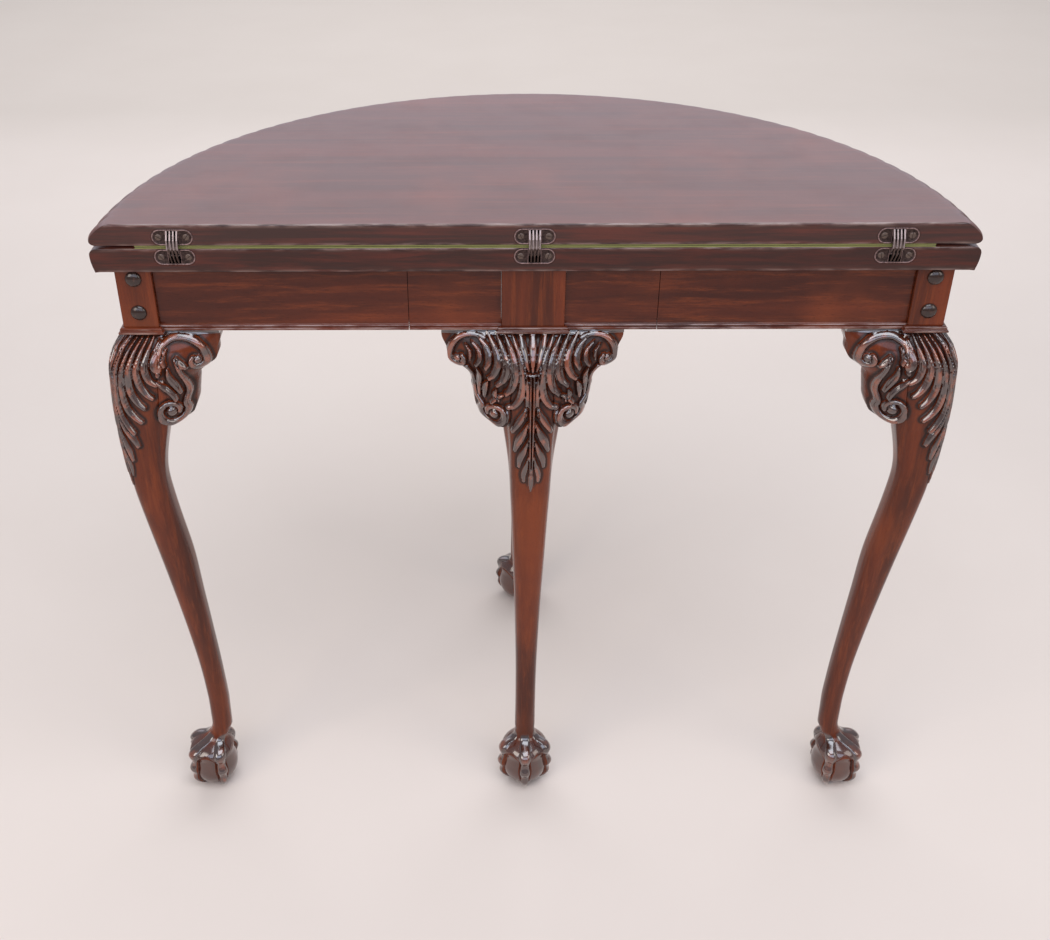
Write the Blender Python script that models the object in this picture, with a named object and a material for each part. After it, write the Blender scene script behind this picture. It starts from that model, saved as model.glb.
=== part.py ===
"""A half-round fold-over card table on four cabriole legs, seen from its hinged back edge.

Metres, +Z up, +X to the viewer's right when the viewer stands behind the hinged edge, +Y towards the
bowed front. The table stands on Z = 0, and the origin is under the middle of its bounding box.
Two half-round leaves lie one on the other. The upper leaf folds over the back edge on three concealed
hinges, and the middle leg then pulls out on two runners to carry it.
"""

import math

import bmesh
import bpy
from mathutils import Matrix

# Overall
TOP_HEIGHT = 0.749
NOSE_RADIUS = 0.4175
GAP = 0.0003
OVERRUN = 0.002

# Leaves and baize
UPPER_LEAF_THICK = 0.0205
LOWER_LEAF_THICK = 0.0238
PARTING = 0.003
NOSE_OVERHANG = 0.0183
LOWER_LEAF_SETBACK = 0.0005
LOWER_EDGE_ROUND = 0.0065
BAIZE_THICK = 0.001
BAIZE_BORDER = 0.044
BAIZE_SETBACK = 0.0005
LEAF_STEPS = 48
# Each row is a share of the overhang, then a share of the thickness, down the curved edge.
NOSE_SHARES = (
    (1, 0), (0.8, 0.05), (0.55, 0.18), (0.28, 0.38), (0.08, 0.57),
    (0, 0.74), (0.06, 0.85), (0.2, 0.94), (0.42, 1),
)
LOWER_EDGE_SHARES = ((1, 0), (0.4, 0.06), (0.08, 0.17), (0, 0.32), (0.1, 0.62), (0.45, 1))

# Frame
FRAME_INSET = 0.0189
STILE_FACE_INSET = 0.006
STILE_SIDE = 0.0348
WIDE_STILE_WIDTH = 0.0614
WIDE_STILE_DEPTH = 0.038
STILE_HEIGHT = 0.0667
STILE_CAP_HEIGHT = 0.0065
STILE_CAP_REACH = 0.0042
STILE_CAP_SHARES = ((0, 0), (1, 0), (1, 0.35), (0.62, 0.5), (0.55, 0.85), (0.2, 1), (0, 1))
RAIL_THICK = 0.020
RAIL_SETBACK = 0.005
RAIL_LIFT = 0.001
FRIEZE_SETBACK = 0.006
FRIEZE_STEPS = 18
BEAD_HEIGHT = 0.0064
BEAD_REACH = 0.0026
BEAD_SHARES = ((1, 0), (1, 0.4), (0.45, 0.5), (0.45, 0.9), (0, 1))

# Cabriole legs
LEG_SIDES = 24
KNEE_BULGE = 0.0225
KNEE_SIDE = 0.060
ANKLE_FACE_INSET = 0.0157
ANKLE_SIDE = 0.0238
KNEE_SQUARENESS = 4
ANKLE_SQUARENESS = 2.6
# Each row is a share of the knee's height, then how far the leg has bent from knee to ankle, then
# how far its side is from the ankle's to the knee's, on a middle leg and on a corner leg.
LEG_SHARES = (
    (0.977, 0.19, 0.8, 0.8), (0.93, 0.045, 0.945, 0.92), (0.882, 0, 1, 0.92), (0.84, 0.003, 1, 0.8),
    (0.794, 0.041, 0.765, 0.57), (0.747, 0.113, 0.586, 0.37), (0.7, 0.19, 0.503, 0.33),
    (0.644, 0.295, 0.414, 0.31), (0.559, 0.462, 0.309, 0.29), (0.47, 0.633, 0.182, 0.18),
    (0.378, 0.795, 0.088, 0.088), (0.28, 0.936, 0.017, 0.017), (0.194, 1, 0, 0),
)

# Claw-and-ball feet
FOOT_HEIGHT = 0.084
FOOT_INSET = 0.0205
FOOT_REACH = 0.0345
FOOT_SPLAY = 0.0085
TOE_WIDTH = math.radians(19)
TOE_DIRECTIONS = tuple(math.radians(turn) for turn in (0, 75, -75, 180))
# Each row is a share of the foot's height, how far the foot has moved out from the ankle, then the
# reach between the toes and on them as shares of the foot's reach.
FOOT_SHARES = (
    (1, 0.05, 0.365, 0.37), (0.86, 0.35, 0.42, 0.47), (0.74, 0.8, 0.61, 0.8),
    (0.63, 1, 0.75, 0.98), (0.52, 1, 0.76, 0.97), (0.42, 1, 0.8, 0.94), (0.31, 1, 0.83, 1),
    (0.19, 1, 0.77, 0.93), (0.08, 1, 0.6, 0.78), (0, 1, 0.38, 0.6),
)

# Knee ears
EAR_REACH = 0.060
EAR_THICK = 0.025
EAR_STEP = 0.009
EAR_ROOT_DEPTH = 0.0295
EAR_TIP_SETBACK = 0.001
EAR_COLUMNS = 4
# Each row is a share of the knee's height, then the ear's reach there as a share of its full reach.
EAR_SHARES = (
    (0.838, 0.1), (0.84, 0.2), (0.846, 0.33), (0.86, 0.43), (0.881, 0.48), (0.901, 0.515),
    (0.923, 0.57), (0.934, 0.7), (0.945, 0.86), (0.966, 0.92), (0.986, 1), (1, 1),
)

# Pull-out that carries the opened leaf
GATE_HALF = 0.121
RUNNER_THICK = 0.018
RUNNER_HEIGHT = 0.036
RUNNER_LIFT = 0.010
RUNNER_END_ROOM = 0.0356
TONGUE_HEIGHT = 0.012
TONGUE_REACH = 0.008
TONGUE_PLAY = 0.0004
GUIDE_THICK = 0.030
CROSS_RAIL_THICK = 0.018
STOP_BAR_THICK = 0.020
STOP_BAR_DEPTH = 0.014
STOP_BAR_ROOM = 0.0027

# Concealed hinges
HINGE_END_INSET = 0.0805
PLATE_LENGTH = 0.0385
PLATE_HEIGHT = 0.0155
PLATE_THICK = 0.002
PLATE_MARGIN = 0.0007
PILL_STEPS = 6
SLOT_START = 0.00285
SLOT_HEIGHT = 0.01378
SLOT_WIDTH = 0.0117
SLOT_DEPTH = 0.0222
SLEEVE_WALL = 0.0007
HINGE_SCREW_REACH = 0.0129
HINGE_SCREW_HEAD_RADIUS = 0.003
HINGE_SCREW_HEAD_DEPTH = 0.0018
HINGE_SCREW_RADIUS = 0.0013
HINGE_SCREW_LENGTH = 0.012
HINGE_SCREW_SIDES = 10

# Hinge links
LINK_THICK = 0.0013
LINK_PLAY = 0.0003
LINK_HALF_DEPTH = 0.00128
LINK_PIVOT_DEPTH = 0.0038
LINK_PIVOT_HEIGHT = 0.0095
LINK_NOSE_REACH = 0.0042
LINK_TIP_DEPTH = 0.00095
LINK_TIP_HEIGHT = 0.01445
LINK_WAIST_SHARES = (0.75, 0.55)
LINK_PIN_RADIUS = 0.00115
LINK_PIN_LENGTH = 0.0112
LINK_PIN_SIDES = 8
LOWER_LINK_COUNT = 4
UPPER_LINK_COUNT = 3

# Leg bolts
BOLT_HEAD_RADIUS = 0.00785
BOLT_HEAD_HEIGHT = 0.0045
BOLT_SHANK_RADIUS = 0.0036
BOLT_SHANK_LENGTH = 0.026
BOLT_DROPS = (0.0095, 0.045)
BOLT_SIDES = 16
BOLT_DOME_STEPS = 4

# Places that follow from the sizes above
FRAME_REACH = NOSE_RADIUS - FRAME_INSET
LOWER_LEAF_RADIUS = NOSE_RADIUS - LOWER_LEAF_SETBACK
HINGE_SPACING = NOSE_RADIUS - HINGE_END_INSET
FOOT_OVERHANG = FOOT_REACH + FOOT_SPLAY - FOOT_INSET
FRONT_REACH = max(NOSE_RADIUS, FRAME_REACH + KNEE_BULGE, FRAME_REACH + FOOT_OVERHANG)
BACK_EDGE = -(FRONT_REACH + STILE_FACE_INSET - KNEE_BULGE) / 2
AXIS_Y = BACK_EDGE - GAP
UPPER_LEAF_BOTTOM = TOP_HEIGHT - UPPER_LEAF_THICK
LOWER_LEAF_TOP = UPPER_LEAF_BOTTOM - PARTING
AXIS_Z = (UPPER_LEAF_BOTTOM + LOWER_LEAF_TOP) / 2
LOWER_LEAF_BOTTOM = LOWER_LEAF_TOP - LOWER_LEAF_THICK
FRAME_TOP = LOWER_LEAF_BOTTOM - GAP
KNEE_TOP = FRAME_TOP - STILE_HEIGHT
RAIL_BOTTOM = KNEE_TOP + RAIL_LIFT
STILE_FACE = BACK_EDGE + STILE_FACE_INSET
FRIEZE_RADIUS = FRAME_REACH - FRIEZE_SETBACK
RAIL_BACK = STILE_FACE + RAIL_SETBACK + RAIL_THICK
RUNNER_END = BACK_EDGE + FRAME_REACH - WIDE_STILE_DEPTH - RUNNER_END_ROOM
RUNNER_FACE = GATE_HALF - TONGUE_REACH - 2 * GAP
WOOD_PLAY = 2 * GAP


def material(name, colour, roughness, metallic=0.0):
    made = bpy.data.materials.new(name)
    made.use_nodes = True
    shader = made.node_tree.nodes["Principled BSDF"]
    shader.inputs["Base Color"].default_value = (*colour, 1)
    shader.inputs["Roughness"].default_value = roughness
    shader.inputs["Metallic"].default_value = metallic
    return made


def mesh_of(name, shells):
    """A mesh of closed shells, each given as its points and faces."""
    bm = bmesh.new()
    for points, faces in shells:
        verts = [bm.verts.new(point) for point in points]
        for face in faces:
            bm.faces.new([verts[k] for k in face])
    bmesh.ops.recalc_face_normals(bm, faces=bm.faces)
    mesh = bpy.data.meshes.new(name)
    bm.to_mesh(mesh)
    bm.free()
    return mesh


def loft(rings):
    """The points and faces of a closed skin through rings of as many points each, with flat ends."""
    size = len(rings[0])
    points = [point for ring in rings for point in ring]
    faces = [list(range(size)), [(len(rings) - 1) * size + k for k in range(size)]]
    for row in range(len(rings) - 1):
        for k in range(size):
            here, after = row * size + k, row * size + (k + 1) % size
            faces.append([here, after, after + size, here + size])
    return points, faces


def block(low, high):
    """The points and faces of a box between two corners."""
    return loft(
        [
            [(low[0], low[1], z), (high[0], low[1], z), (high[0], high[1], z), (low[0], high[1], z)]
            for z in (low[2], high[2])
        ]
    )


def turned(x, z, profile, sides):
    """The points and faces of a piece turned about a line along Y, from rows of radius and Y."""
    return loft(
        [
            [
                (
                    x + radius * math.cos(math.tau * k / sides),
                    y,
                    z + radius * math.sin(math.tau * k / sides),
                )
                for k in range(sides)
            ]
            for radius, y in profile
        ]
    )


def piece(name, shells, finish, smooth_angle=None):
    made = bpy.data.objects.new(name, mesh_of(name, shells))
    made.data.materials.append(finish)
    if smooth_angle is not None:
        made.data.shade_smooth()
        made.data.set_sharp_from_angle(angle=smooth_angle)
    bpy.context.scene.collection.objects.link(made)
    return made


def cutter(name, shells):
    made = bpy.data.objects.new(name, mesh_of(name, shells))
    made.hide_render = True
    made.display_type = "WIRE"
    bpy.context.scene.collection.objects.link(made)
    return made


def combine(target, tool, operation="DIFFERENCE"):
    modifier = target.modifiers.new(tool.name, "BOOLEAN")
    modifier.operation = operation
    modifier.solver = "EXACT"
    modifier.object = tool


def axis_empty(name, place):
    made = bpy.data.objects.new(name, None)
    made.location = place
    bpy.context.scene.collection.objects.link(made)
    return made


def hang(child, parent):
    """Parents a piece to the empty on its joint's axis and leaves it where it is."""
    child.parent = parent
    child.matrix_parent_inverse = Matrix.Translation(parent.location).inverted()


def between(start, end, share):
    return start + (end - start) * share


def half_round(profile, steps, back):
    """A half-round board. profile runs down its curved edge as rows of radius and height."""
    rows = len(profile)
    points = [
        (
            radius * math.cos(math.pi * step / steps),
            back + radius * math.sin(math.pi * step / steps) * (0 < step < steps),
            height,
        )
        for step in range(steps + 1)
        for radius, height in profile
    ]
    top = [step * rows for step in range(steps + 1)]
    bottom = [step * rows + rows - 1 for step in range(steps + 1)]
    edge = list(range(rows)) + [steps * rows + row for row in reversed(range(rows))]
    faces = [top, bottom[::-1], edge]
    for step in range(steps):
        for row in range(rows - 1):
            here = step * rows + row
            faces.append([here, here + 1, here + 1 + rows, here + rows])
    return points, faces


def pill(x, middle, y_front, y_back, length, height):
    """A plate with round ends, standing in the XZ plane."""
    radius = height / 2
    outline = []
    for side, start in ((1, -math.pi / 2), (-1, math.pi / 2)):
        for step in range(PILL_STEPS + 1):
            turn = start + math.pi * step / PILL_STEPS
            centre = x + side * (length / 2 - radius)
            outline.append((centre + radius * math.cos(turn), middle + radius * math.sin(turn)))
    return loft([[(px, y, pz) for px, pz in outline] for y in (y_front, y_back)])


def leaves(wood, cloth):
    """The two half-round leaves and the baize glued on the faces that meet."""
    nose = [
        (NOSE_RADIUS - NOSE_OVERHANG * out, TOP_HEIGHT - UPPER_LEAF_THICK * down)
        for out, down in NOSE_SHARES
    ]
    edge = [
        (LOWER_LEAF_RADIUS - LOWER_EDGE_ROUND * out, LOWER_LEAF_TOP - LOWER_LEAF_THICK * down)
        for out, down in LOWER_EDGE_SHARES
    ]
    smooth = math.radians(35)
    upper = piece("upper_leaf", [half_round(nose, LEAF_STEPS, BACK_EDGE)], wood, smooth)
    lower = piece("lower_leaf", [half_round(edge, LEAF_STEPS, BACK_EDGE)], wood, smooth)
    radius = NOSE_RADIUS - BAIZE_BORDER
    cloths = []
    for name, top in (
        ("upper_baize", UPPER_LEAF_BOTTOM - GAP),
        ("lower_baize", LOWER_LEAF_TOP + GAP + BAIZE_THICK),
    ):
        profile = [(radius, top), (radius, top - BAIZE_THICK)]
        shell = half_round(profile, LEAF_STEPS, BACK_EDGE + BAIZE_SETBACK)
        cloths.append(piece(name, [shell], cloth))
    return upper, lower, cloths[0], cloths[1]


def link_outline(sign):
    """One hinge link from the side, as Y and Z. It swings on a pin in its own plate, crosses its
    neighbours outside the edge and turns back into the other plate."""
    spine = [
        (LINK_PIVOT_DEPTH, -LINK_PIVOT_HEIGHT),
        (-LINK_NOSE_REACH, 0),
        (-LINK_NOSE_REACH * LINK_WAIST_SHARES[0], LINK_TIP_HEIGHT * LINK_WAIST_SHARES[1]),
        (LINK_TIP_DEPTH, LINK_TIP_HEIGHT),
    ]
    sides = ([], [])
    for k, (y, z) in enumerate(spine):
        before, after = spine[max(k - 1, 0)], spine[min(k + 1, len(spine) - 1)]
        heading = math.atan2(after[1] - before[1], after[0] - before[0])
        if 0 < k < len(spine) - 1:
            first = math.atan2(z - before[1], y - before[0])
            second = math.atan2(after[1] - z, after[0] - y)
            heading = (first + second) / 2
            reach = LINK_HALF_DEPTH / math.cos((second - first) / 2)
        else:
            reach = LINK_HALF_DEPTH
            push = LINK_HALF_DEPTH if k else -LINK_HALF_DEPTH
            y, z = y + push * math.cos(heading), z + push * math.sin(heading)
        across = (-math.sin(heading) * reach, math.cos(heading) * reach)
        sides[0].append((y + across[0], z + across[1]))
        sides[1].append((y - across[0], z - across[1]))
    outline = sides[0] + sides[1][::-1]
    return [(BACK_EDGE + y, AXIS_Z + sign * z) for y, z in outline]


def hinges(upper, lower, fold_axis, metal, steel, brass):
    """Three concealed hinges, each two plates let into the leaves' edges, with crossing links."""
    screw_profile = [
        (HINGE_SCREW_HEAD_RADIUS, BACK_EDGE + GAP),
        (HINGE_SCREW_RADIUS, BACK_EDGE + GAP + HINGE_SCREW_HEAD_DEPTH),
        (HINGE_SCREW_RADIUS, BACK_EDGE + GAP + HINGE_SCREW_LENGTH),
    ]
    hole_profile = [
        (HINGE_SCREW_HEAD_RADIUS + WOOD_PLAY + OVERRUN, BACK_EDGE - OVERRUN),
        (HINGE_SCREW_HEAD_RADIUS + WOOD_PLAY, BACK_EDGE),
        (HINGE_SCREW_RADIUS + WOOD_PLAY, BACK_EDGE + HINGE_SCREW_HEAD_DEPTH),
        (HINGE_SCREW_RADIUS + WOOD_PLAY, BACK_EDGE + WOOD_PLAY + HINGE_SCREW_LENGTH),
    ]
    for level, sign, leaf, count in (
        ("upper", 1, upper, UPPER_LINK_COUNT),
        ("lower", -1, lower, LOWER_LINK_COUNT),
    ):
        plate_start = PARTING / 2 + PLATE_MARGIN
        middle = AXIS_Z + sign * (plate_start + PLATE_HEIGHT / 2)
        slot_low, slot_high = sorted(AXIS_Z + sign * (SLOT_START + side) for side in (0, SLOT_HEIGHT))
        sleeve = SLEEVE_WALL + GAP
        recesses, pockets, holes = [], [], []
        for side, place in ((-1, "left"), (0, "centre"), (1, "right")):
            x = side * HINGE_SPACING
            screws = [x - HINGE_SCREW_REACH, x + HINGE_SCREW_REACH]
            recesses.append(
                pill(
                    x, middle, BACK_EDGE - OVERRUN, BACK_EDGE + PLATE_THICK + GAP,
                    PLATE_LENGTH + 2 * GAP, PLATE_HEIGHT + 2 * GAP,
                )
            )
            pockets.append(
                block(
                    (x - SLOT_WIDTH / 2 - sleeve, BACK_EDGE - OVERRUN, slot_low - sleeve),
                    (x + SLOT_WIDTH / 2 + sleeve, BACK_EDGE + SLOT_DEPTH + sleeve, slot_high + sleeve),
                )
            )
            plate_holes = [turned(at, middle, hole_profile, HINGE_SCREW_SIDES) for at in screws]
            holes += plate_holes
            plate = piece(
                f"hinge_{level}_plate_{place}",
                [pill(x, middle, BACK_EDGE, BACK_EDGE + PLATE_THICK, PLATE_LENGTH, PLATE_HEIGHT)],
                metal,
            )
            body = block(
                (x - SLOT_WIDTH / 2 - SLEEVE_WALL, BACK_EDGE + PLATE_THICK / 2, slot_low - SLEEVE_WALL),
                (
                    x + SLOT_WIDTH / 2 + SLEEVE_WALL,
                    BACK_EDGE + SLOT_DEPTH + SLEEVE_WALL,
                    slot_high + SLEEVE_WALL,
                ),
            )
            slot = block(
                (x - SLOT_WIDTH / 2, BACK_EDGE - OVERRUN, slot_low),
                (x + SLOT_WIDTH / 2, BACK_EDGE + SLOT_DEPTH, slot_high),
            )
            combine(plate, cutter(f"{plate.name}_sleeve", [body]), "UNION")
            combine(plate, cutter(f"{plate.name}_slot", [slot]))
            combine(plate, cutter(f"{plate.name}_screw_holes", plate_holes))
            moving = [plate]
            for at, end in zip(screws, ("a", "b")):
                name = f"hinge_{level}_screw_{place}_{end}"
                shell = turned(at, middle, screw_profile, HINGE_SCREW_SIDES)
                moving.append(piece(name, [shell], brass, math.radians(40)))
            pitch = 2 * (LINK_THICK + LINK_PLAY)
            outline = link_outline(sign * -1)
            blades = [
                loft(
                    [
                        [(x + (k - (count - 1) / 2) * pitch + half, y, z) for y, z in outline]
                        for half in (-LINK_THICK / 2, LINK_THICK / 2)
                    ]
                )
                for k in range(count)
            ]
            links = piece(f"hinge_{level}_links_{place}", blades, steel)
            pivot = (x, BACK_EDGE + LINK_PIVOT_DEPTH, AXIS_Z + sign * LINK_PIVOT_HEIGHT)
            pin = [
                [
                    (
                        x + end,
                        pivot[1] + LINK_PIN_RADIUS * math.cos(math.tau * (k + 0.5) / LINK_PIN_SIDES),
                        pivot[2] + LINK_PIN_RADIUS * math.sin(math.tau * (k + 0.5) / LINK_PIN_SIDES),
                    )
                    for k in range(LINK_PIN_SIDES)
                ]
                for end in (-LINK_PIN_LENGTH / 2, LINK_PIN_LENGTH / 2)
            ]
            combine(links, cutter(f"{links.name}_pin", [loft(pin)]), "UNION")
            link_axis = axis_empty(f"{links.name}_axis", pivot)
            hang(links, link_axis)
            if level == "upper":
                hang(link_axis, fold_axis)
                for part in moving:
                    hang(part, fold_axis)
        combine(leaf, cutter(f"{leaf.name}_plate_recesses", recesses))
        combine(leaf, cutter(f"{leaf.name}_hinge_pockets", pockets))
        combine(leaf, cutter(f"{leaf.name}_screw_holes", holes))


def section(x, y, z, half_x, half_y, squareness=None):
    """A ring round a leg: a rectangle, or a rounded one where a squareness is given."""
    ring = []
    for k in range(LEG_SIDES):
        turn = math.tau * k / LEG_SIDES
        across, along = math.cos(turn), math.sin(turn)
        edge = max(abs(across), abs(along))
        across, along = across / edge, along / edge
        rounding = 1
        if squareness:
            rounding = (abs(across) ** squareness + abs(along) ** squareness) ** (-1 / squareness)
        ring.append((x + half_x * across * rounding, y + half_y * along * rounding, z))
    return ring


class Leg:
    """Where one leg stands: its stile's middle and half sizes, the way its knee points and the way
    its foot turns out."""

    def __init__(self, name, middle, half, spine, splay):
        self.name, self.middle, self.half, self.spine, self.splay = name, middle, half, spine, splay

    def centre(self, inset, side):
        """The middle of a section whose outer faces lie this far inside the stile's."""
        return [
            self.middle[k] + self.spine[k] * (self.half[k] - inset - side / 2) for k in (0, 1)
        ]

    def rows(self):
        """Height, middle, half sizes and squareness of each section from stile to ankle."""
        made = [(z, self.middle, self.half, None) for z in (FRAME_TOP, KNEE_TOP)]
        for height, bend, middle_share, corner_share in LEG_SHARES:
            share = corner_share if self.spine[0] else middle_share
            side = between(ANKLE_SIDE, KNEE_SIDE, share)
            middle = self.centre(between(-KNEE_BULGE, ANKLE_FACE_INSET, bend), side)
            squareness = between(ANKLE_SQUARENESS, KNEE_SQUARENESS, share)
            made.append((KNEE_TOP * height, middle, (side / 2, side / 2), squareness))
        return made

    def rings(self):
        made = [section(*middle, z, *half, square) for z, middle, half, square in self.rows()]
        facing = math.atan2(self.spine[1], self.spine[0])
        ankle = self.centre(ANKLE_FACE_INSET, ANKLE_SIDE)
        foot = [place + FOOT_SPLAY * way for place, way in zip(self.centre(FOOT_INSET, 0), self.splay)]
        for height, moved, web, toe in FOOT_SHARES:
            x, y = (between(a, f, moved) for a, f in zip(ankle, foot))
            ring = []
            for k in range(LEG_SIDES):
                turn = math.tau * k / LEG_SIDES
                nearest = min(
                    abs(math.remainder(turn - facing - way, math.tau)) for way in TOE_DIRECTIONS
                )
                reach = FOOT_REACH * between(web, toe, math.exp(-((nearest / TOE_WIDTH) ** 2)))
                place = (x + reach * math.cos(turn), y + reach * math.sin(turn))
                ring.append((*place, FOOT_HEIGHT * height))
            made.append(ring)
        return made

    def reach(self, z, way):
        """How far the leg reaches along a way at a height."""
        rows = [
            (high, sum((middle[k] + half[k] * way[k]) * way[k] for k in (0, 1)))
            for high, middle, half, _ in self.rows()[1:]
        ]
        for (above, far), (below, near) in zip(rows, rows[1:]):
            if z >= below:
                return between(far, near, (above - z) / (above - below))
        return rows[-1][1]


def all_legs():
    narrow = FRAME_REACH - STILE_SIDE / 2
    corner_y = STILE_FACE + STILE_SIDE / 2
    half = STILE_SIDE / 2
    wide = (WIDE_STILE_WIDTH / 2, WIDE_STILE_DEPTH / 2)
    back_y = STILE_FACE + WIDE_STILE_DEPTH / 2
    front_y = BACK_EDGE + FRAME_REACH - WIDE_STILE_DEPTH / 2
    return {
        "left": Leg("corner_leg_left", (-narrow, corner_y), (half, half), (-1, -1), (-1, 0)),
        "right": Leg("corner_leg_right", (narrow, corner_y), (half, half), (1, -1), (1, 0)),
        "centre": Leg("centre_leg", (0, back_y), wide, (0, -1), (0, 0)),
        "front": Leg("front_leg", (0, front_y), wide, (0, 1), (0, 1)),
    }


def frieze_inset(along):
    """How far the bowed rail's face lies inside the stile's face, this far from the bow's crown."""
    return FRAME_REACH - math.sqrt(FRIEZE_RADIUS**2 - along**2)


def ear_rows():
    """Each height share where an ear or the leg beside it changes, with the ear's reach there."""
    lowest = EAR_SHARES[0][0]
    heights = {height for height, _ in EAR_SHARES}
    heights |= {row[0] for row in LEG_SHARES if row[0] > lowest}
    rows = []
    for height in sorted(heights):
        for (low, start), (high, end) in zip(EAR_SHARES, EAR_SHARES[1:]):
            if low <= height <= high:
                reach = between(start, end, (height - low) / (high - low))
        rows.append((height, reach))
    return rows


def ear(name, leg, out, front, bowed, wood):
    """A carved bracket glued beside a knee, under the rail. out is the way it reaches along the
    rail, and front the way its face looks."""
    face = sum((leg.middle[k] + leg.half[k] * front[k]) * front[k] for k in (0, 1))
    root = leg.reach(KNEE_TOP * EAR_SHARES[0][0], out)
    rows = []
    for height, share in ear_rows():
        z = KNEE_TOP * height - (GAP if height == 1 else 0)
        inset = face - leg.reach(z, front)
        inner = leg.reach(z, out) + GAP
        outer = max(root + EAR_REACH * share, inner + GAP)
        if bowed:
            from_back = outer - BACK_EDGE if out[1] else outer
            tip = frieze_inset(from_back) + EAR_TIP_SETBACK
        else:
            tip = RAIL_SETBACK + EAR_TIP_SETBACK
        ring = []
        columns = [step / (EAR_COLUMNS - 1) for step in range(EAR_COLUMNS)]
        for share_out in columns:
            depth = between(inset + EAR_STEP, tip, share_out)
            ring.append((between(inner, outer, share_out), depth))
        for share_out in reversed(columns):
            depth = between(EAR_ROOT_DEPTH, tip + EAR_THICK, share_out)
            ring.append((between(inner, outer, share_out), depth))
        rows.append(
            [
                tuple(along * out[k] + (face - depth) * front[k] for k in (0, 1)) + (z,)
                for along, depth in ring
            ]
        )
    return piece(name, [loft(rows)], wood, math.radians(30))


def cap_moulding(name, path, outward, wood):
    """A mitred moulding round the foot of a stile. path runs along the stile's faces, and outward
    is 1 where the moulding lies to the left of the path's run and -1 where it lies to the right."""
    rings = []
    for k, (x, y) in enumerate(path):
        headings = []
        if k:
            headings.append(math.atan2(y - path[k - 1][1], x - path[k - 1][0]))
        if k < len(path) - 1:
            headings.append(math.atan2(path[k + 1][1] - y, path[k + 1][0] - x))
        turn = math.remainder(headings[-1] - headings[0], math.tau)
        normal = headings[0] + turn / 2 + outward * math.pi / 2
        stretch = 1 / math.cos(turn / 2)
        ring = []
        for reach, height in STILE_CAP_SHARES:
            out = (GAP + STILE_CAP_REACH * reach) * stretch
            z = KNEE_TOP + STILE_CAP_HEIGHT * height
            ring.append((x + out * math.cos(normal), y + out * math.sin(normal), z))
        rings.append(ring)
    return piece(name, [loft(rings)], wood)


def cap_paths(legs):
    """The way round each stile that its moulding takes, with its returns beside the rails."""
    turn_in = RAIL_SETBACK - BEAD_REACH - GAP
    paths = {}
    for side, leg in legs.items():
        (x, y), (half_x, half_y) = leg.middle, leg.half
        if leg.spine[0]:
            way = leg.spine[0]
            paths[side] = [
                (x - way * half_x, y - half_y + turn_in),
                (x - way * half_x, y - half_y),
                (x + way * half_x, y - half_y),
                (x + way * half_x, y + half_y),
            ]
        else:
            way = leg.spine[1]
            paths[side] = [
                (x - half_x, y + way * (half_y - turn_in)),
                (x - half_x, y + way * half_y),
                (x + half_x, y + way * half_y),
                (x + half_x, y + way * (half_y - turn_in)),
            ]
    return paths


def rail_profile():
    """A rail's section, as how far it stands in front of its face and its height, from the back."""
    bead = [(BEAD_REACH * out, RAIL_BOTTOM + BEAD_HEIGHT * up) for out, up in BEAD_SHARES]
    return [(-RAIL_THICK, RAIL_BOTTOM)] + bead + [(0, FRAME_TOP), (-RAIL_THICK, FRAME_TOP)]


def straight_rail(name, x_low, x_high, wood):
    face = STILE_FACE + RAIL_SETBACK
    rings = [[(x, face - out, z) for out, z in rail_profile()] for x in (x_low, x_high)]
    return piece(name, [loft(rings)], wood)


def bowed_rail(name, side, wood):
    """Half of the bowed frieze, from a corner stile round to the front leg's stile."""
    back_end = STILE_FACE_INSET + STILE_SIDE + GAP
    front_end = WIDE_STILE_WIDTH / 2 + GAP
    rings = []
    for step in range(FRIEZE_STEPS + 1):
        ring = []
        for out, z in rail_profile():
            radius = FRIEZE_RADIUS + out
            turn = between(
                math.asin(back_end / radius), math.acos(front_end / radius), step / FRIEZE_STEPS
            )
            ring.append((side * radius * math.cos(turn), BACK_EDGE + radius * math.sin(turn), z))
        rings.append(ring)
    return piece(name, [loft(rings)], wood, math.radians(20))


def runner_parts(side, place, wood, oak):
    """A pull-out runner with its tongue, and the grooved guide that carries it."""
    low = RAIL_BOTTOM + RUNNER_LIFT
    high = low + RUNNER_HEIGHT
    start = RAIL_BACK + GAP
    outer = RUNNER_FACE
    tip = outer + TONGUE_REACH
    inner = outer - RUNNER_THICK
    middle = (low + high) / 2
    outline = [
        (inner, low), (outer, low), (outer, middle - TONGUE_HEIGHT / 2),
        (tip, middle - TONGUE_HEIGHT / 2), (tip, middle + TONGUE_HEIGHT / 2),
        (outer, middle + TONGUE_HEIGHT / 2), (outer, high), (inner, high),
    ]
    runner = piece(
        f"runner_{place}",
        [loft([[(side * x, y, z) for x, z in outline] for y in (start, RUNNER_END)])],
        oak,
    )
    groove = TONGUE_HEIGHT / 2 + TONGUE_PLAY
    deep = tip + TONGUE_PLAY
    guide_inner = outer + WOOD_PLAY
    guide_outer = guide_inner + GUIDE_THICK
    frieze_back = math.sqrt((FRIEZE_RADIUS - RAIL_THICK) ** 2 - guide_outer**2) - GAP
    outline = [
        (guide_inner, RAIL_BOTTOM), (guide_outer, RAIL_BOTTOM), (guide_outer, FRAME_TOP),
        (guide_inner, FRAME_TOP), (guide_inner, middle + groove), (deep, middle + groove),
        (deep, middle - groove), (guide_inner, middle - groove),
    ]
    rings = [
        [(side * x, y, z) for x, z in outline] for y in (start, BACK_EDGE + frieze_back)
    ]
    guide = piece(f"runner_guide_{place}", [loft(rings)], oak)
    return runner, guide


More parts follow.
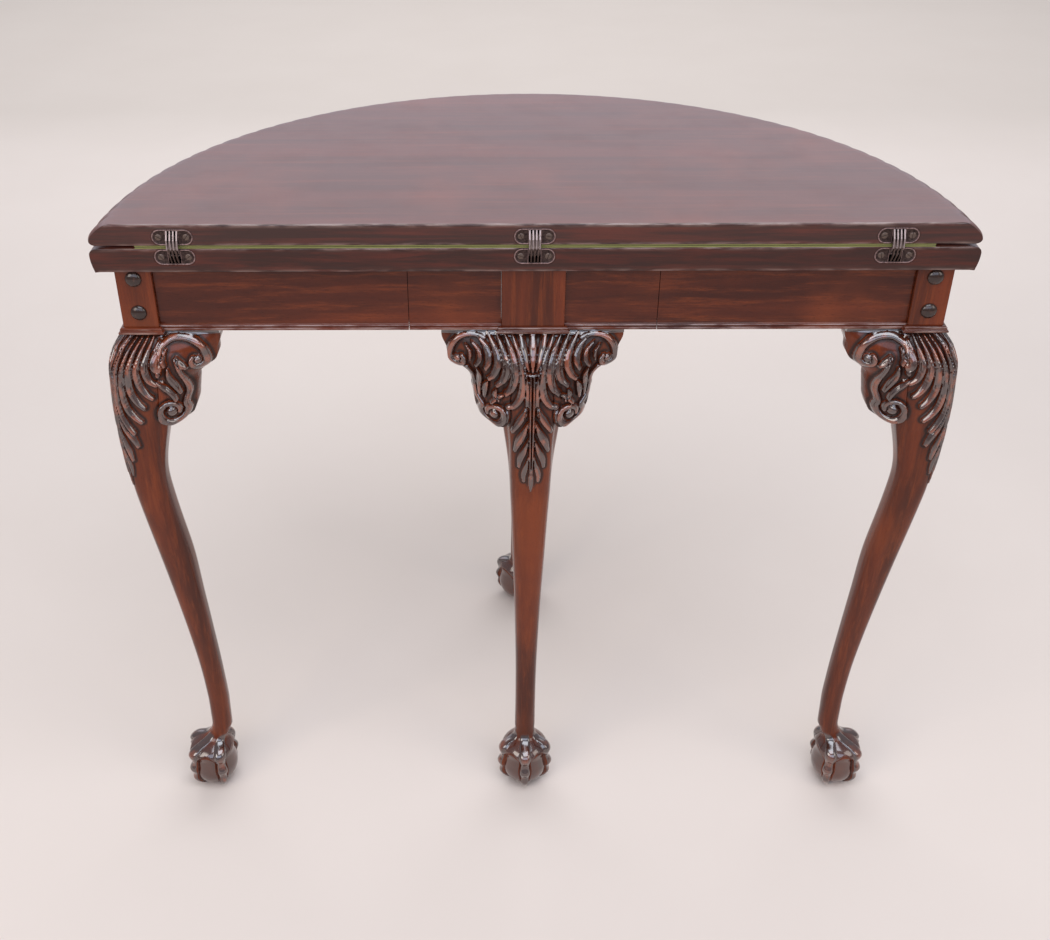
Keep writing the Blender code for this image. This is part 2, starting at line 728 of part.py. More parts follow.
def pull_out(pull_axis, wood, oak):
    """What draws out with the centre leg until its cross rail meets the stop bar, and the fixed rails,
    guides and bar that it runs in and stops against."""
    moving = []
    for side, place in ((-1, "left"), (1, "right")):
        edge, seam = WIDE_STILE_WIDTH / 2 + GAP, GATE_HALF - WOOD_PLAY
        ends = sorted((side * edge, side * seam))
        moving.append(straight_rail(f"gate_rail_{place}", *ends, wood))
        runner, _ = runner_parts(side, place, wood, oak)
        moving.append(runner)
        edge, seam = FRAME_REACH - STILE_SIDE - GAP, GATE_HALF
        straight_rail(f"back_rail_{place}", *sorted((side * edge, side * seam)), wood)
    low = RAIL_BOTTOM + RUNNER_LIFT
    inside = RUNNER_FACE - RUNNER_THICK - GAP
    cross_face = RUNNER_END - CROSS_RAIL_THICK
    moving.append(
        piece(
            "cross_rail",
            [block((-inside, cross_face, low), (inside, RUNNER_END, FRAME_TOP - WOOD_PLAY))],
            oak,
        )
    )
    stop_back = STILE_FACE + WIDE_STILE_DEPTH + STOP_BAR_ROOM
    stop_half = RUNNER_FACE + GAP
    piece(
        "stop_bar",
        [
            block(
                (-stop_half, stop_back, FRAME_TOP - STOP_BAR_DEPTH),
                (stop_half, stop_back + STOP_BAR_THICK, FRAME_TOP),
            )
        ],
        oak,
    )
    for part in moving:
        hang(part, pull_axis)


def bolts(legs, wood_legs, iron):
    """Two domed bolts through each corner stile's back face."""
    for side in ("left", "right"):
        leg = legs[side]
        holes = []
        for drop, level in zip(BOLT_DROPS, ("upper", "lower")):
            z = LOWER_LEAF_BOTTOM - drop
            face = STILE_FACE - GAP
            profile = [
                (
                    BOLT_HEAD_RADIUS * math.sin(math.pi / 2 * (step + 1) / BOLT_DOME_STEPS),
                    face - BOLT_HEAD_HEIGHT * math.cos(math.pi / 2 * (step + 1) / BOLT_DOME_STEPS),
                )
                for step in range(BOLT_DOME_STEPS)
            ]
            profile += [(BOLT_SHANK_RADIUS, face), (BOLT_SHANK_RADIUS, face + BOLT_SHANK_LENGTH)]
            x = leg.middle[0]
            shell = turned(x, z, profile, BOLT_SIDES)
            piece(f"leg_bolt_{side}_{level}", [shell], iron, math.radians(40))
            hole_radius = BOLT_SHANK_RADIUS + WOOD_PLAY
            hole = [
                (hole_radius, STILE_FACE - OVERRUN),
                (hole_radius, STILE_FACE + BOLT_SHANK_LENGTH + WOOD_PLAY),
            ]
            holes.append(turned(x, z, hole, BOLT_SIDES))
        combine(wood_legs[side], cutter(f"{leg.name}_bolt_holes", holes))


def frame(pull_axis, wood, carved, oak, iron):
    """The legs with their ears and mouldings, the rails between them and the pull-out."""
    legs = all_legs()
    made = {
        side: piece(leg.name, [loft(leg.rings())], carved, math.radians(40))
        for side, leg in legs.items()
    }
    for side, way in (("left", -1), ("right", 1)):
        ear(f"ear_{side}_back", legs[side], (-way, 0), (0, -1), False, carved)
        ear(f"ear_{side}_side", legs[side], (0, 1), (way, 0), True, carved)
    for side, look, bowed in (("centre", -1, False), ("front", 1, True)):
        for place, way in (("left", -1), ("right", 1)):
            part = ear(f"ear_{side}_{place}", legs[side], (way, 0), (0, look), bowed, carved)
            if side == "centre":
                hang(part, pull_axis)
    outward = {"left": 1, "right": -1, "centre": -1, "front": 1}
    for side, path in cap_paths(legs).items():
        part = cap_moulding(f"stile_cap_{side}", path, outward[side], wood)
        if side == "centre":
            hang(part, pull_axis)
    hang(made["centre"], pull_axis)
    bowed_rail("frieze_rail_left", -1, wood)
    bowed_rail("frieze_rail_right", 1, wood)
    pull_out(pull_axis, wood, oak)
    bolts(legs, made, iron)


def build():
    for old in list(bpy.data.objects):
        bpy.data.objects.remove(old, do_unlink=True)
    top_wood = material("polished mahogany top", (0.165, 0.042, 0.026), 0.25)
    frame_wood = material("polished mahogany frame", (0.085, 0.021, 0.012), 0.3)
    carved_wood = material("carved mahogany", (0.11, 0.028, 0.016), 0.3)
    bearer_wood = material("unpolished bearer wood", (0.32, 0.17, 0.08), 0.7)
    baize = material("green baize", (0.2, 0.22, 0.06), 0.95)
    bronze = material("dark hinge bronze", (0.06, 0.04, 0.035), 0.45, 0.8)
    steel = material("bare hinge links", (0.5, 0.42, 0.4), 0.35, 1.0)
    screw_metal = material("hinge screws", (0.12, 0.1, 0.1), 0.4, 0.9)
    bolt_metal = material("blackened bolts", (0.02, 0.02, 0.024), 0.3, 0.7)
    fold_axis = axis_empty("fold_axis", (0, AXIS_Y, AXIS_Z))
    pull_axis = axis_empty("pull_axis", (0, STILE_FACE, 0))
    upper, lower, upper_cloth, _ = leaves(top_wood, baize)
    hang(upper, fold_axis)
    hang(upper_cloth, fold_axis)
    hinges(upper, lower, fold_axis, bronze, steel, screw_metal)
    frame(pull_axis, frame_wood, carved_wood, bearer_wood, bolt_metal)


build()
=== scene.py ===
import math

import bpy
import numpy as np
from mathutils import Matrix, Vector


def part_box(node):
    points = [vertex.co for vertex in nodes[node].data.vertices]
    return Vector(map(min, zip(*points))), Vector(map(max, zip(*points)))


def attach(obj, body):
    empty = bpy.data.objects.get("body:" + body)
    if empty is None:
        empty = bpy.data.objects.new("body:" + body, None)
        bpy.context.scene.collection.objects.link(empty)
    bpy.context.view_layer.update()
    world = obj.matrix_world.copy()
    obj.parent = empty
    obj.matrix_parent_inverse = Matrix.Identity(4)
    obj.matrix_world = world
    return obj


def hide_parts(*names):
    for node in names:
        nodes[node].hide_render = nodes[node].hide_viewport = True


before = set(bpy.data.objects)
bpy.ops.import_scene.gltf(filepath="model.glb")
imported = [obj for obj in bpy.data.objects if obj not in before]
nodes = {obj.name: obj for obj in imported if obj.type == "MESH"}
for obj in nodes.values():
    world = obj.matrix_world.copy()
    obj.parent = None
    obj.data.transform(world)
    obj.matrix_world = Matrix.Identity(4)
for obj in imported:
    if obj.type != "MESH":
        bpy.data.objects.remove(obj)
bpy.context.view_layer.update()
scene = bpy.context.scene

# The viewpoint
# The table is seen from behind and above, from chest height and a long step away. The camera's
# place, turn and lens were fitted to the table's own lines and arcs.
eye = Vector((-0.0423, -1.2889, 1.1999))
turned_left, tipped_down, leaning = (math.radians(angle) for angle in (0.264, 32.616, 0.262))
camera_data = bpy.data.cameras.new("viewpoint")
camera_data.sensor_width = 36
camera_data.lens = 43.07
camera_data.shift_x = 0.0382
camera_data.shift_y = -0.0211
camera = bpy.data.objects.new("viewpoint", camera_data)
heading = Matrix.Rotation(turned_left, 3, "Z") @ Matrix.Rotation(-tipped_down, 3, "X")
heading = heading @ Matrix.Rotation(leaning, 3, "Y") @ Matrix.Rotation(math.pi / 2, 3, "X")
camera.matrix_world = Matrix.Translation(eye) @ heading.to_4x4()
scene.collection.objects.link(camera)
scene.camera = camera
scene.view_settings.view_transform = "Standard"

# The studio floor and lights
# A plain pale floor in a cool, dim surround. Broad soft lights stand at both sides, overhead and
# behind the viewer, and two more only lift the floor behind the table.
floor_half = 12


class Socket:
    """A socket of a material's nodes, so that a sum of sockets is written as a sum."""

    def __init__(self, finish, link):
        self.finish, self.link = finish, link

    def math(self, operation, *others):
        return self.finish.node("ShaderNodeMath", {"operation": operation}, [self, *others])

    def __add__(self, other):
        return self.math("ADD", other)

    def __sub__(self, other):
        return self.math("SUBTRACT", other)

    def __mul__(self, other):
        return self.math("MULTIPLY", other)

    def __rsub__(self, other):
        return self.finish.node("ShaderNodeMath", {"operation": "SUBTRACT"}, [other, self])

    __radd__ = __add__
    __rmul__ = __mul__


class Finish:
    """A material while it is made. Its shader's own sockets are set by coat()."""

    def __init__(self, name):
        self.material = bpy.data.materials.new(name)
        self.material.use_nodes = True
        self.tree = self.material.node_tree
        self.shader = self.tree.nodes["Principled BSDF"]

    def feed(self, socket, value):
        if isinstance(value, Socket):
            self.tree.links.new(value.link, socket)
        elif socket.type == "RGBA" and len(value) == 3:
            socket.default_value = (*value, 1)
        else:
            socket.default_value = value

    def node(self, kind, settings=None, sockets=(), output=0):
        """Adds a node: its settings first, then its sockets by number or by name."""
        made = self.tree.nodes.new(kind)
        for name, value in (settings or {}).items():
            setattr(made, name, value)
        pairs = sockets.items() if isinstance(sockets, dict) else enumerate(sockets)
        for name, value in pairs:
            self.feed(made.inputs[name], value)
        return Socket(self, made.outputs[output])

    def blend(self, share, first, second):
        """A colour between two. A Mix node takes them at sockets 6 and 7 and gives it at 2."""
        settings = {"data_type": "RGBA"}
        return self.node("ShaderNodeMix", settings, {0: share, 6: first, 7: second}, 2)

    def place(self, stretch, shift=(0, 0, 0)):
        """Where a point of the piece is, stretched along each axis."""
        at = self.node("ShaderNodeTexCoord", output="Object")
        sockets = {"Vector": at, "Scale": stretch, "Location": shift}
        return self.node("ShaderNodeMapping", sockets=sockets)

    def noise(self, at, scale, detail=4, rough=0.55, bend=0):
        sockets = {"Vector": at, "Scale": scale, "Detail": detail, "Roughness": rough}
        return self.node("ShaderNodeTexNoise", sockets={**sockets, "Distortion": bend})

    def level(self, value, low, high):
        """0 below low and 1 above high, smoothly."""
        settings = {"interpolation_type": "SMOOTHSTEP"}
        sockets = {"Value": value, "From Min": low, "From Max": high}
        return self.node("ShaderNodeMapRange", settings, sockets)

    def patches(self, low, high, at, scale, detail=4, rough=0.55):
        """Soft-edged patches: 0 where a noise is below low, and 1 where it is above high."""
        return self.level(self.noise(at, scale, detail, rough), low, high)

    def bump(self, height, strength, distance):
        sockets = {"Strength": strength, "Distance": distance, "Height": height}
        return self.node("ShaderNodeBump", sockets=sockets)

    def mark(self, name):
        """A number that the mesh itself holds at each point."""
        return self.node("ShaderNodeAttribute", {"attribute_name": name}, output="Fac")

    def coat(self, **sockets):
        """Sets the shader's sockets by name and gives the finished material."""
        for name, value in sockets.items():
            self.feed(self.shader.inputs[name.replace("_", " ")], value)
        return self.material


def studio_floor():
    finish = Finish("studio floor")
    cloud = finish.noise(finish.place((1, 1, 1)), 3)
    pale = finish.blend(cloud, (0.65, 0.56, 0.5), (0.69, 0.6, 0.54))
    return finish.coat(Base_Color=pale, Roughness=0.9)


corners = [(x * floor_half, y * floor_half, 0) for x, y in ((-1, -1), (1, -1), (1, 1), (-1, 1))]
floor_mesh = bpy.data.meshes.new("studio_floor")
floor_mesh.from_pydata(corners, [], [(0, 1, 2, 3)])
floor_mesh.materials.append(studio_floor())
floor = bpy.data.objects.new("studio_floor", floor_mesh)
scene.collection.objects.link(floor)

world = bpy.data.worlds.new("studio surround")
world.use_nodes = True
surround = world.node_tree.nodes["Background"]
surround.inputs["Color"].default_value = (0.86, 0.92, 1, 1)
surround.inputs["Strength"].default_value = 0.42
scene.world = world


def soft_light(name, place, target, size, power, colour):
    """A rectangular lamp of a size in metres and a power in watts, turned towards its target."""
    data = bpy.data.lights.new(name, "AREA")
    data.shape = "RECTANGLE"
    data.size, data.size_y = size
    data.energy = power
    data.color = colour
    lamp = bpy.data.objects.new(name, data)
    lamp.location = place
    lamp.rotation_euler = (Vector(target) - Vector(place)).to_track_quat("-Z", "Y").to_euler()
    scene.collection.objects.link(lamp)


soft_light("window", (-1.9, -1.9, 1.8), (0, 0, 0.5), (1.3, 1.5), 25, (1, 0.92, 0.84))
soft_light("second window", (2.1, -1.4, 1.6), (0, 0, 0.5), (1.1, 1.4), 12, (1, 0.92, 0.85))
soft_light("ceiling", (0.2, -0.9, 2.5), (0, 0, 0.4), (1.8, 1.3), 30, (0.86, 0.91, 1))
soft_light("wide window", (0, -3.2, 2.1), (0, 0, 0.6), (4.2, 1.6), 46, (0.7, 0.79, 1))
soft_light("far ceiling", (0, 3.4, 3.4), (0, 3.6, 0), (6, 3), 130, (0.93, 0.96, 1))
soft_light("far panel", (0, 2.3, 1.35), (0, 0, 1.0), (4.6, 1.3), 18, (0.84, 0.86, 1))

# Upper leaf
# A solid mahogany half round whose bowed edge is a carved thumb moulding. It is French polished.
# Its back edge is painted darker in streaks, and worn pale along the arris where it is gripped to
# fold it; that pale line is partly a painted highlight.
leaf_low, leaf_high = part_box("upper_leaf")
under_low, under_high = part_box("lower_leaf")
back_edge = leaf_low.y
nose_radius = (leaf_high.x - leaf_low.x) / 2
nose_overhang = 0.0183
scallop_pitch = 0.0252
scallop_depth, scallop_sharpness = 0.0024, 2.4
arris_round = 0.0011
worn_arrises = 3
dark_edge_depth = 0.0015
field_share, field_middle = 0.985, 0.4
leaf_columns_per_scallop, straight_columns = 14, 60
nose_shares = (
    (1, 0), (0.8, 0.05), (0.55, 0.18), (0.28, 0.38), (0.08, 0.57),
    (0, 0.74), (0.06, 0.85), (0.2, 0.94), (0.42, 1),
)
scallop_shares = (0, 0.75, 1, 1, 1, 0.9, 0.55, 0.2, 0)
top_tones = (0.075, 0.0135, 0.0075), (0.115, 0.0205, 0.011), (0.185, 0.034, 0.013)
# Tones for the back edge, painted darker, and for worn arrises, painted pale partly as a highlight.
back_edge_dark_tone, worn_and_highlight_tone = (0.022, 0.0085, 0.0065), (0.27, 0.15, 0.115)
crest_tone, fire_tone = (0.022, 0.011, 0.0095), (0.26, 0.05, 0.011)
# Painted shade for the grooves and the ground beside the carved strokes.
hollow_shade_tone = (0.012, 0.006, 0.005)


def flow(at, knots, values):
    """A smooth curve through values at rising knots, read at each place of at."""
    knots, values = np.asarray(knots, float), np.asarray(values, float)
    slopes = np.gradient(values, knots, axis=0)
    span = np.clip(np.searchsorted(knots, at) - 1, 0, len(knots) - 2)
    width = knots[span + 1] - knots[span]
    t = np.clip((at - knots[span]) / width, 0, 1)
    if values.ndim > 1:
        t, width = t[..., None], width[..., None]
    start, end = values[span], values[span + 1]
    rise, fall = slopes[span] * width, slopes[span + 1] * width
    cubic = (2 * t**3 - 3 * t**2 + 1) * start + (t**3 - 2 * t**2 + t) * rise
    return cubic + (3 * t**2 - 2 * t**3) * end + (t**3 - t**2) * fall


def skin(name, rings, finish, sharp_angle=35, marks=None):
    """A closed piece through rings of as many points each, with flat ends. The sign of its volume
    turns its faces outwards, and marks are numbers that its points hold for the finish."""
    rows, columns, _ = rings.shape
    here = np.arange(rows * columns).reshape(rows, columns)
    after = np.roll(here, -1, axis=1)
    quads = np.stack([here[:-1], after[:-1], after[1:], here[1:]], axis=-1).reshape(-1, 4)
    points = rings.reshape(-1, 3)
    a, b, c, d = (points[quads[:, k]] for k in range(4))
    volume = np.einsum("ij,ij->", a, np.cross(b, c)) + np.einsum("ij,ij->", a, np.cross(c, d))
    ends = [here[0][::-1].tolist(), here[-1].tolist()]
    for end in ends:
        around = points[end]
        volume += around[0] @ np.cross(around[:-1], around[1:]).sum(0)
    faces = quads.tolist() + ends
    if volume < 0:
        faces = [face[::-1] for face in faces]
    mesh = bpy.data.meshes.new(name)
    mesh.from_pydata(points.tolist(), [], faces)
    for mark, values in (marks or {}).items():
        layer = mesh.attributes.new(mark, "FLOAT", "POINT")
        layer.data.foreach_set("value", np.asarray(values, np.float32).ravel())
    mesh.materials.append(finish)
    mesh.shade_smooth()
    mesh.set_sharp_from_angle(angle=math.radians(sharp_angle))
    made = bpy.data.objects.new(name, mesh)
    scene.collection.objects.link(made)
    return made


def mahogany(name, tones, stretch, gloss, polish, shift=(0, 0, 0), worn=False, carved=False):
    """French-polished mahogany. stretch is small along the grain and large across it."""
    finish = Finish(name)
    dark, light, warm = tones
    grain = finish.place(stretch, shift)
    band = finish.noise(grain, 3.2, 5, 0.6, 0.5)
    line = finish.noise(grain, 17, 5, 0.7, 0.25)
    cloud = finish.patches(0.48, 0.75, finish.place((5, 5, 5), shift), 1.4, 3)
    colour = finish.blend(finish.level(band, 0.32, 0.72), dark, light)
    colour = finish.blend(finish.level(line, 0.45, 0.78) * 0.55, colour, warm)
    colour = finish.blend(cloud * 0.45, colour, warm)
    fine = finish.place(tuple(24 * part for part in stretch), shift)
    pores = finish.patches(0.6, 0.68, fine, 12, 2, 0.5)
    colour = finish.blend(pores * 0.4, colour, tuple(0.35 * part for part in dark))
    smear = finish.patches(0.4, 0.8, finish.place((9, 9, 9), shift), 2.2)
    rough = gloss + smear * 0.05
    height = 0.15 * band - 0.3 * pores
    coating = 0.06
    if carved:
        # The grooves, the low flanks of strokes and the ground near them are painted dark: painted
        # shade. The crests keep a dark polish, rubbed red in patches.
        relief = finish.mark("relief")
        hollow_shade = 1 - finish.level(relief, 0.02, 0.4)
        crest = finish.level(relief, 0.55, 0.66)
        fire = finish.patches(0.42, 0.62, finish.place((30, 30, 30)), 2, 3)
        rubbed_red = finish.level(relief, 0.8, 0.98) * fire
        colour = finish.blend(crest * 0.82, colour, crest_tone)
        colour = finish.blend(rubbed_red * 0.75, colour, fire_tone)
        colour = finish.blend(hollow_shade * 0.85, colour, hollow_shade_tone)
        rough = rough + hollow_shade * 0.25
        coating = coating + crest * 0.94
    if worn:
        # The back edge is painted darker, in streaks along the grain.
        darker_back_edge = finish.mark("edge") * (0.35 + 0.55 * finish.level(line, 0.35, 0.6))
        colour = finish.blend(darker_back_edge, colour, back_edge_dark_tone)
        # Worn arrises and beads are painted pale: partly real wear, partly a painted highlight.
        wear = finish.mark("wear") * finish.patches(0.38, 0.66, finish.place((14, 60, 60)), 3)
        colour = finish.blend(wear * 0.6, colour, worn_and_highlight_tone)
        rough = rough + wear * 0.06
        coating = coating + wear * 0.6
    return finish.coat(
        Base_Color=colour, Roughness=rough, Normal=finish.bump(height, 0.12, 0.0004),
        Specular_IOR_Level=polish, Coat_Weight=coating, Coat_Roughness=0.12, Coat_IOR=2.0,
    )


def leaf_rings(radius, shares, overhang, top, bottom, waves):
    """Rows down a half-round leaf's edge, round its bow and back along its straight side, and how
    worn each point is, which is painted pale as wear and partly as a highlight. Shares are how far
    in, how far down and how scalloped the edge is."""
    count = len(shares)
    rows = 3 * count - 2
    at = np.linspace(0, count - 1, rows)
    out, down, wave = (np.clip(flow(at, range(count), share), 0, 1) for share in zip(*shares))
    steps = waves * leaf_columns_per_scallop
    turn = np.linspace(0, math.pi, steps + 1)
    beat = turn * waves / math.pi % 1
    dip = scallop_depth * np.abs(2 * beat - 1) ** scallop_sharpness
    reach = radius - overhang * out[:, None] - wave[:, None] * dip
    height = top + (bottom - top) * down
    level = np.broadcast_to(height[:, None], reach.shape)
    bow = np.stack([reach * np.cos(turn), back_edge + reach * np.sin(turn), level], -1)
    bow[:, 0, 1] = bow[:, -1, 1] = back_edge
    half = radius - overhang - arris_round
    along = np.linspace(-half, half, straight_columns)
    from_arris = np.minimum(top - height, height - bottom)
    softened = np.clip(from_arris / arris_round, 0, 1)
    recess = arris_round * (1 - np.sqrt(1 - (1 - softened) ** 2))
    straight = np.empty((rows, len(along), 3))
    straight[..., 0] = along
    straight[..., 1] = (back_edge + recess)[:, None]
    straight[..., 2] = height[:, None]
    rings = np.concatenate([bow, straight], 1)
    core = np.array([0, back_edge + field_middle * radius, 0])
    flat = core + (rings - core) * np.array([field_share, field_share, 1])
    rings = np.concatenate([flat[:1], rings, flat[-1:]])
    wear = np.zeros(rings.shape[:2])
    near_arris = np.clip(1 - from_arris / (worn_arrises * arris_round), 0, 1)
    wear[1:-1, len(turn):] = near_arris[:, None]
    return rings, wear


outline_points = 96


def stadium(length, height, grow=0):
    """Round-ended outline of a plate in X and Z."""
    turn = np.arange(outline_points) * math.tau / outline_points
    side = np.where(np.cos(turn) >= 0, 1, -1)
    straight, radius = (length - height) / 2, height / 2 + grow
    return np.stack([side * straight + radius * np.cos(turn), radius * np.sin(turn)], -1)


def oblong(width, height, grow=0, count=outline_points):
    """Square-cornered outline in X and Z."""
    turn = np.arange(count) * math.tau / count
    across, up = np.cos(turn), np.sin(turn)
    edge = np.maximum(abs(across), abs(up))
    return np.stack([across / edge * (width / 2 + grow), up / edge * (height / 2 + grow)], -1)


def through(outlines):
    """Rings that run in from the leaf's edge, each at a distance, of an outline round a middle."""
    return np.array([
        [(x + middle[0], back_edge + inward, z + middle[1]) for x, z in outline]
        for inward, outline, middle in outlines
    ])


def cut_away(piece, shapes):
    """Cuts closed shapes, given as rings, out of a piece."""
    cutters = [skin("cutter", rings, None) for rings in shapes]
    for cutter in cutters:
        cut = piece.modifiers.new("cut", "BOOLEAN")
        cut.operation, cut.solver, cut.object = "DIFFERENCE", "EXACT", cutter
    shaped = piece.evaluated_get(bpy.context.evaluated_depsgraph_get())
    mesh = bpy.data.meshes.new_from_object(shaped)
    piece.modifiers.clear()
    piece.data = mesh
    for cutter in cutters:
        bpy.data.objects.remove(cutter)


def cut_pockets(board, groups):
    """Cuts pockets into a leaf, one group at a time, and marks the leaf's back edge to be painted
    darker.
    """
    for shapes in groups:
        cut_away(board, shapes)
    board.data.set_sharp_from_angle(angle=math.radians(leaf_sharp_angle))
    points = np.empty(3 * len(board.data.vertices), np.float32)
    board.data.vertices.foreach_get("co", points)
    edge = board.data.attributes.new("edge", "FLOAT", "POINT")
    darker_back_edge = points[1::3] < back_edge + dark_edge_depth
    edge.data.foreach_set("value", darker_back_edge.astype(np.float32))


fold_height = (leaf_low.z + under_high.z) / 2
hinge_places = {"left": -0.337, "centre": 0.0, "right": 0.337}
plate_length, plate_height, plate_thick, plate_gap = 0.0385, 0.0155, 0.002, 0.0022
slot_width, slot_height, slot_depth, slot_gap = 0.0117, 0.01378, 0.0222, 0.00285
plate_reach, slot_reach = plate_gap + plate_height / 2, slot_gap + slot_height / 2
sleeve_wall = 0.0007
screw_spacing = 0.0129
leaf_sharp_angle = 50


def hinge_pockets(way):
    """A plate's recess and its sleeve's pocket at each hinge. way is 1 in the upper leaf."""
    outside, clear = -0.004, 0.0004
    recess = stadium(plate_length, plate_height, clear)
    pocket = oblong(slot_width, slot_height, sleeve_wall + clear)
    groups = []
    for outline, reach, depth in (
        (recess, plate_reach, plate_thick), (pocket, slot_reach, slot_depth + sleeve_wall),
    ):
        middles = [(x, fold_height + way * reach) for x in hinge_places.values()]
        ends = (outside, depth + clear)
        groups.append([through([(end, outline, middle) for end in ends]) for middle in middles])
    return groups


wave_count = round(math.pi * nose_radius / scallop_pitch)
upper_shares = [(*share, wave) for share, wave in zip(nose_shares, scallop_shares)]
rings, wear = leaf_rings(
    nose_radius, upper_shares, nose_overhang, leaf_high.z, leaf_low.z, wave_count
)
top_finish = mahogany("polished top", top_tones, (0.4, 11, 11), 0.34, 0.45, worn=True)
upper_leaf = skin("upper_leaf_carved", rings, top_finish, leaf_sharp_angle, {"wear": wear})
cut_pockets(upper_leaf, hinge_pockets(1))
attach(upper_leaf, "folding_leaf")
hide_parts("upper_leaf")

# Lower leaf
# The fixed leaf, of the same board, with a plain edge rounded a little above and below. It is
# handled less, so its arris is a little less worn.
under_radius = (under_high.x - under_low.x) / 2
edge_round = 0.0065
edge_steps = 20
less_worn = 0.8
under_shares = [
    (*share, 0) for share in ((1, 0), (0.4, 0.06), (0.08, 0.17), (0, 0.32), (0.1, 0.62), (0.45, 1))
]
rings, wear = leaf_rings(
    under_radius, under_shares, edge_round, under_high.z, under_low.z, edge_steps
)
under_finish = mahogany("polished lower leaf", top_tones, (0.6, 9, 9), 0.36, 0.3, (3, 1, 2), True)
# The lower leaf's pale arris, partly wear and partly a painted highlight, is weaker.
wear *= less_worn
lower_leaf = skin("lower_leaf_rounded", rings, under_finish, leaf_sharp_angle, {"wear": wear})
cut_pockets(lower_leaf, hinge_pockets(-1))
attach(lower_leaf, "root")
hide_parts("lower_leaf")

# Baize
# A thin wool cloth, glued on each of the two faces that meet, inside a border of bare wood. Only
# its edge shows while the table is folded.
baize_radius, baize_thick, baize_setback, baize_soft = 0.3735, 0.001, 0.0005, 0.0003
baize_columns = 180


def wool():
    finish = Finish("green baize")
    fibre = finish.noise(finish.place((260, 260, 260)), 5, 3, 0.7, 1.5)
    nap = finish.patches(0.4, 0.8, finish.place((14, 14, 14)), 2)
    colour = finish.blend(fibre, (0.105, 0.105, 0.03), (0.29, 0.27, 0.095))
    colour = finish.blend(nap * 0.4, colour, (0.26, 0.25, 0.085))
    return finish.coat(
        Base_Color=colour, Roughness=0.95, Normal=finish.bump(fibre, 0.5, 0.0004),
        Sheen_Weight=0.15, Specular_IOR_Level=0.15,
    )


baize = wool()
for level, low, body, leaf in (
    ("upper", leaf_low.z - baize_thick, "folding_leaf", "upper_leaf_carved"),
    ("lower", under_high.z, "root", "lower_leaf_rounded"),
):
    turn = np.linspace(0, math.pi, baize_columns)
    rings = []
    for inset, up in ((baize_soft, 0), (0, 0.3), (0, 0.7), (baize_soft, 1)):
        radius = baize_radius - inset
        along = np.linspace(-radius, radius, straight_columns)[1:-1]
        x = np.concatenate([radius * np.cos(turn), along])
        y = np.concatenate([np.maximum(radius * np.sin(turn), 0), np.full(len(along), inset)])
        y += back_edge + baize_setback
        rings.append(np.stack([x, y, np.full_like(x, low + baize_thick * up)], -1))
    cloth = skin(f"{level}_baize_cloth", np.array(rings), baize, leaf_sharp_angle)
    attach(cloth, body)
    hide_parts(f"{level}_baize")

# Hinges
# Three concealed hinges of dark bronzed brass, let in flush and held by two slotted screws in each
# plate. Combs of steel links swing in their slots, stained dark above and rubbed brighter below.
screw_radius, screw_shank, screw_length, screw_slot = 0.003, 0.0013, 0.012, 0.0007
screw_sides, screw_sharp_angle, plate_sharp_angle = 32, 30, 40
slot_run, slot_cut = 0.008, 0.0009
lip_width, lip_rise, lip_round, lip_inside = 0.0005, 0.0003, 0.985, 0.0006
blade_arris = 0.00018
plate_rim = (
    (plate_thick, 0), (0.0004, 0), (0.0001, 0.0001), (0, 0.0004), (0, 0.0009), (0.0003, 0.0013),
)
# Pale rims on each plate's rows: partly rubbed brass, partly a painted highlight.
plate_rub_and_highlight = (0, 0, 0, 0.7, 1, 1, 0.8, 0.05, 0.05, 0.8, 0.8, 0.1, 0)


def bronze():
    finish = Finish("bronzed brass")
    stain = finish.noise(finish.place((150, 150, 150)), 3, 5, 0.65)
    dark, brown, rubbed_and_highlight = (0.022, 0.014, 0.013), (0.075, 0.046, 0.038), (0.4, 0.26, 0.245)
    # The rims are painted pale: partly rubbed brass, partly a painted highlight.
    rub = finish.mark("wear") * finish.level(stain, 0.25, 0.6)
    colour = finish.blend(finish.level(stain, 0.35, 0.7), dark, brown)
    colour = finish.blend(rub, colour, rubbed_and_highlight)
    bump = finish.bump(stain, 0.3, 0.0002)
    rough = 0.52 - 0.18 * rub
    return finish.coat(Base_Color=colour, Roughness=rough, Metallic=0.85, Normal=bump)


def steel(name, dark, light, rough):
    finish = Finish(name)
    brushed = finish.noise(finish.place((40, 900, 240)), 4, 3, 0.6)
    stain = finish.patches(0.5, 0.75, finish.place((200, 200, 200)), 2.4)
    colour = finish.blend(brushed, dark, light)
    colour = finish.blend(stain * 0.6, colour, (0.1, 0.06, 0.045))
    bump = finish.bump(brushed, 0.2, 0.0001)
    roughness = rough + 0.2 * brushed
    return finish.coat(Base_Color=colour, Roughness=roughness, Metallic=1, Normal=bump)


plate_finish = bronze()
blade_finish = {
    "upper": steel("stained steel links", (0.06, 0.04, 0.034), (0.17, 0.12, 0.105), 0.42),
    "lower": steel("worn steel links", (0.26, 0.19, 0.175), (0.48, 0.38, 0.36), 0.36),
}
screw_finish = steel("hinge screws", (0.09, 0.065, 0.055), (0.24, 0.18, 0.15), 0.36)


def turned(profile, sides, middle=(0, 0, 0)):
    """Rings of a piece turned round an axis along Y. A profile's rows are radii and ways in."""
    turn = np.arange(sides) * math.tau / sides
    x, y, z = middle
    return np.array([
        np.stack([x + r * np.cos(turn), np.full(sides, y + inward), z + r * np.sin(turn)], -1)
        for r, inward in profile
    ])


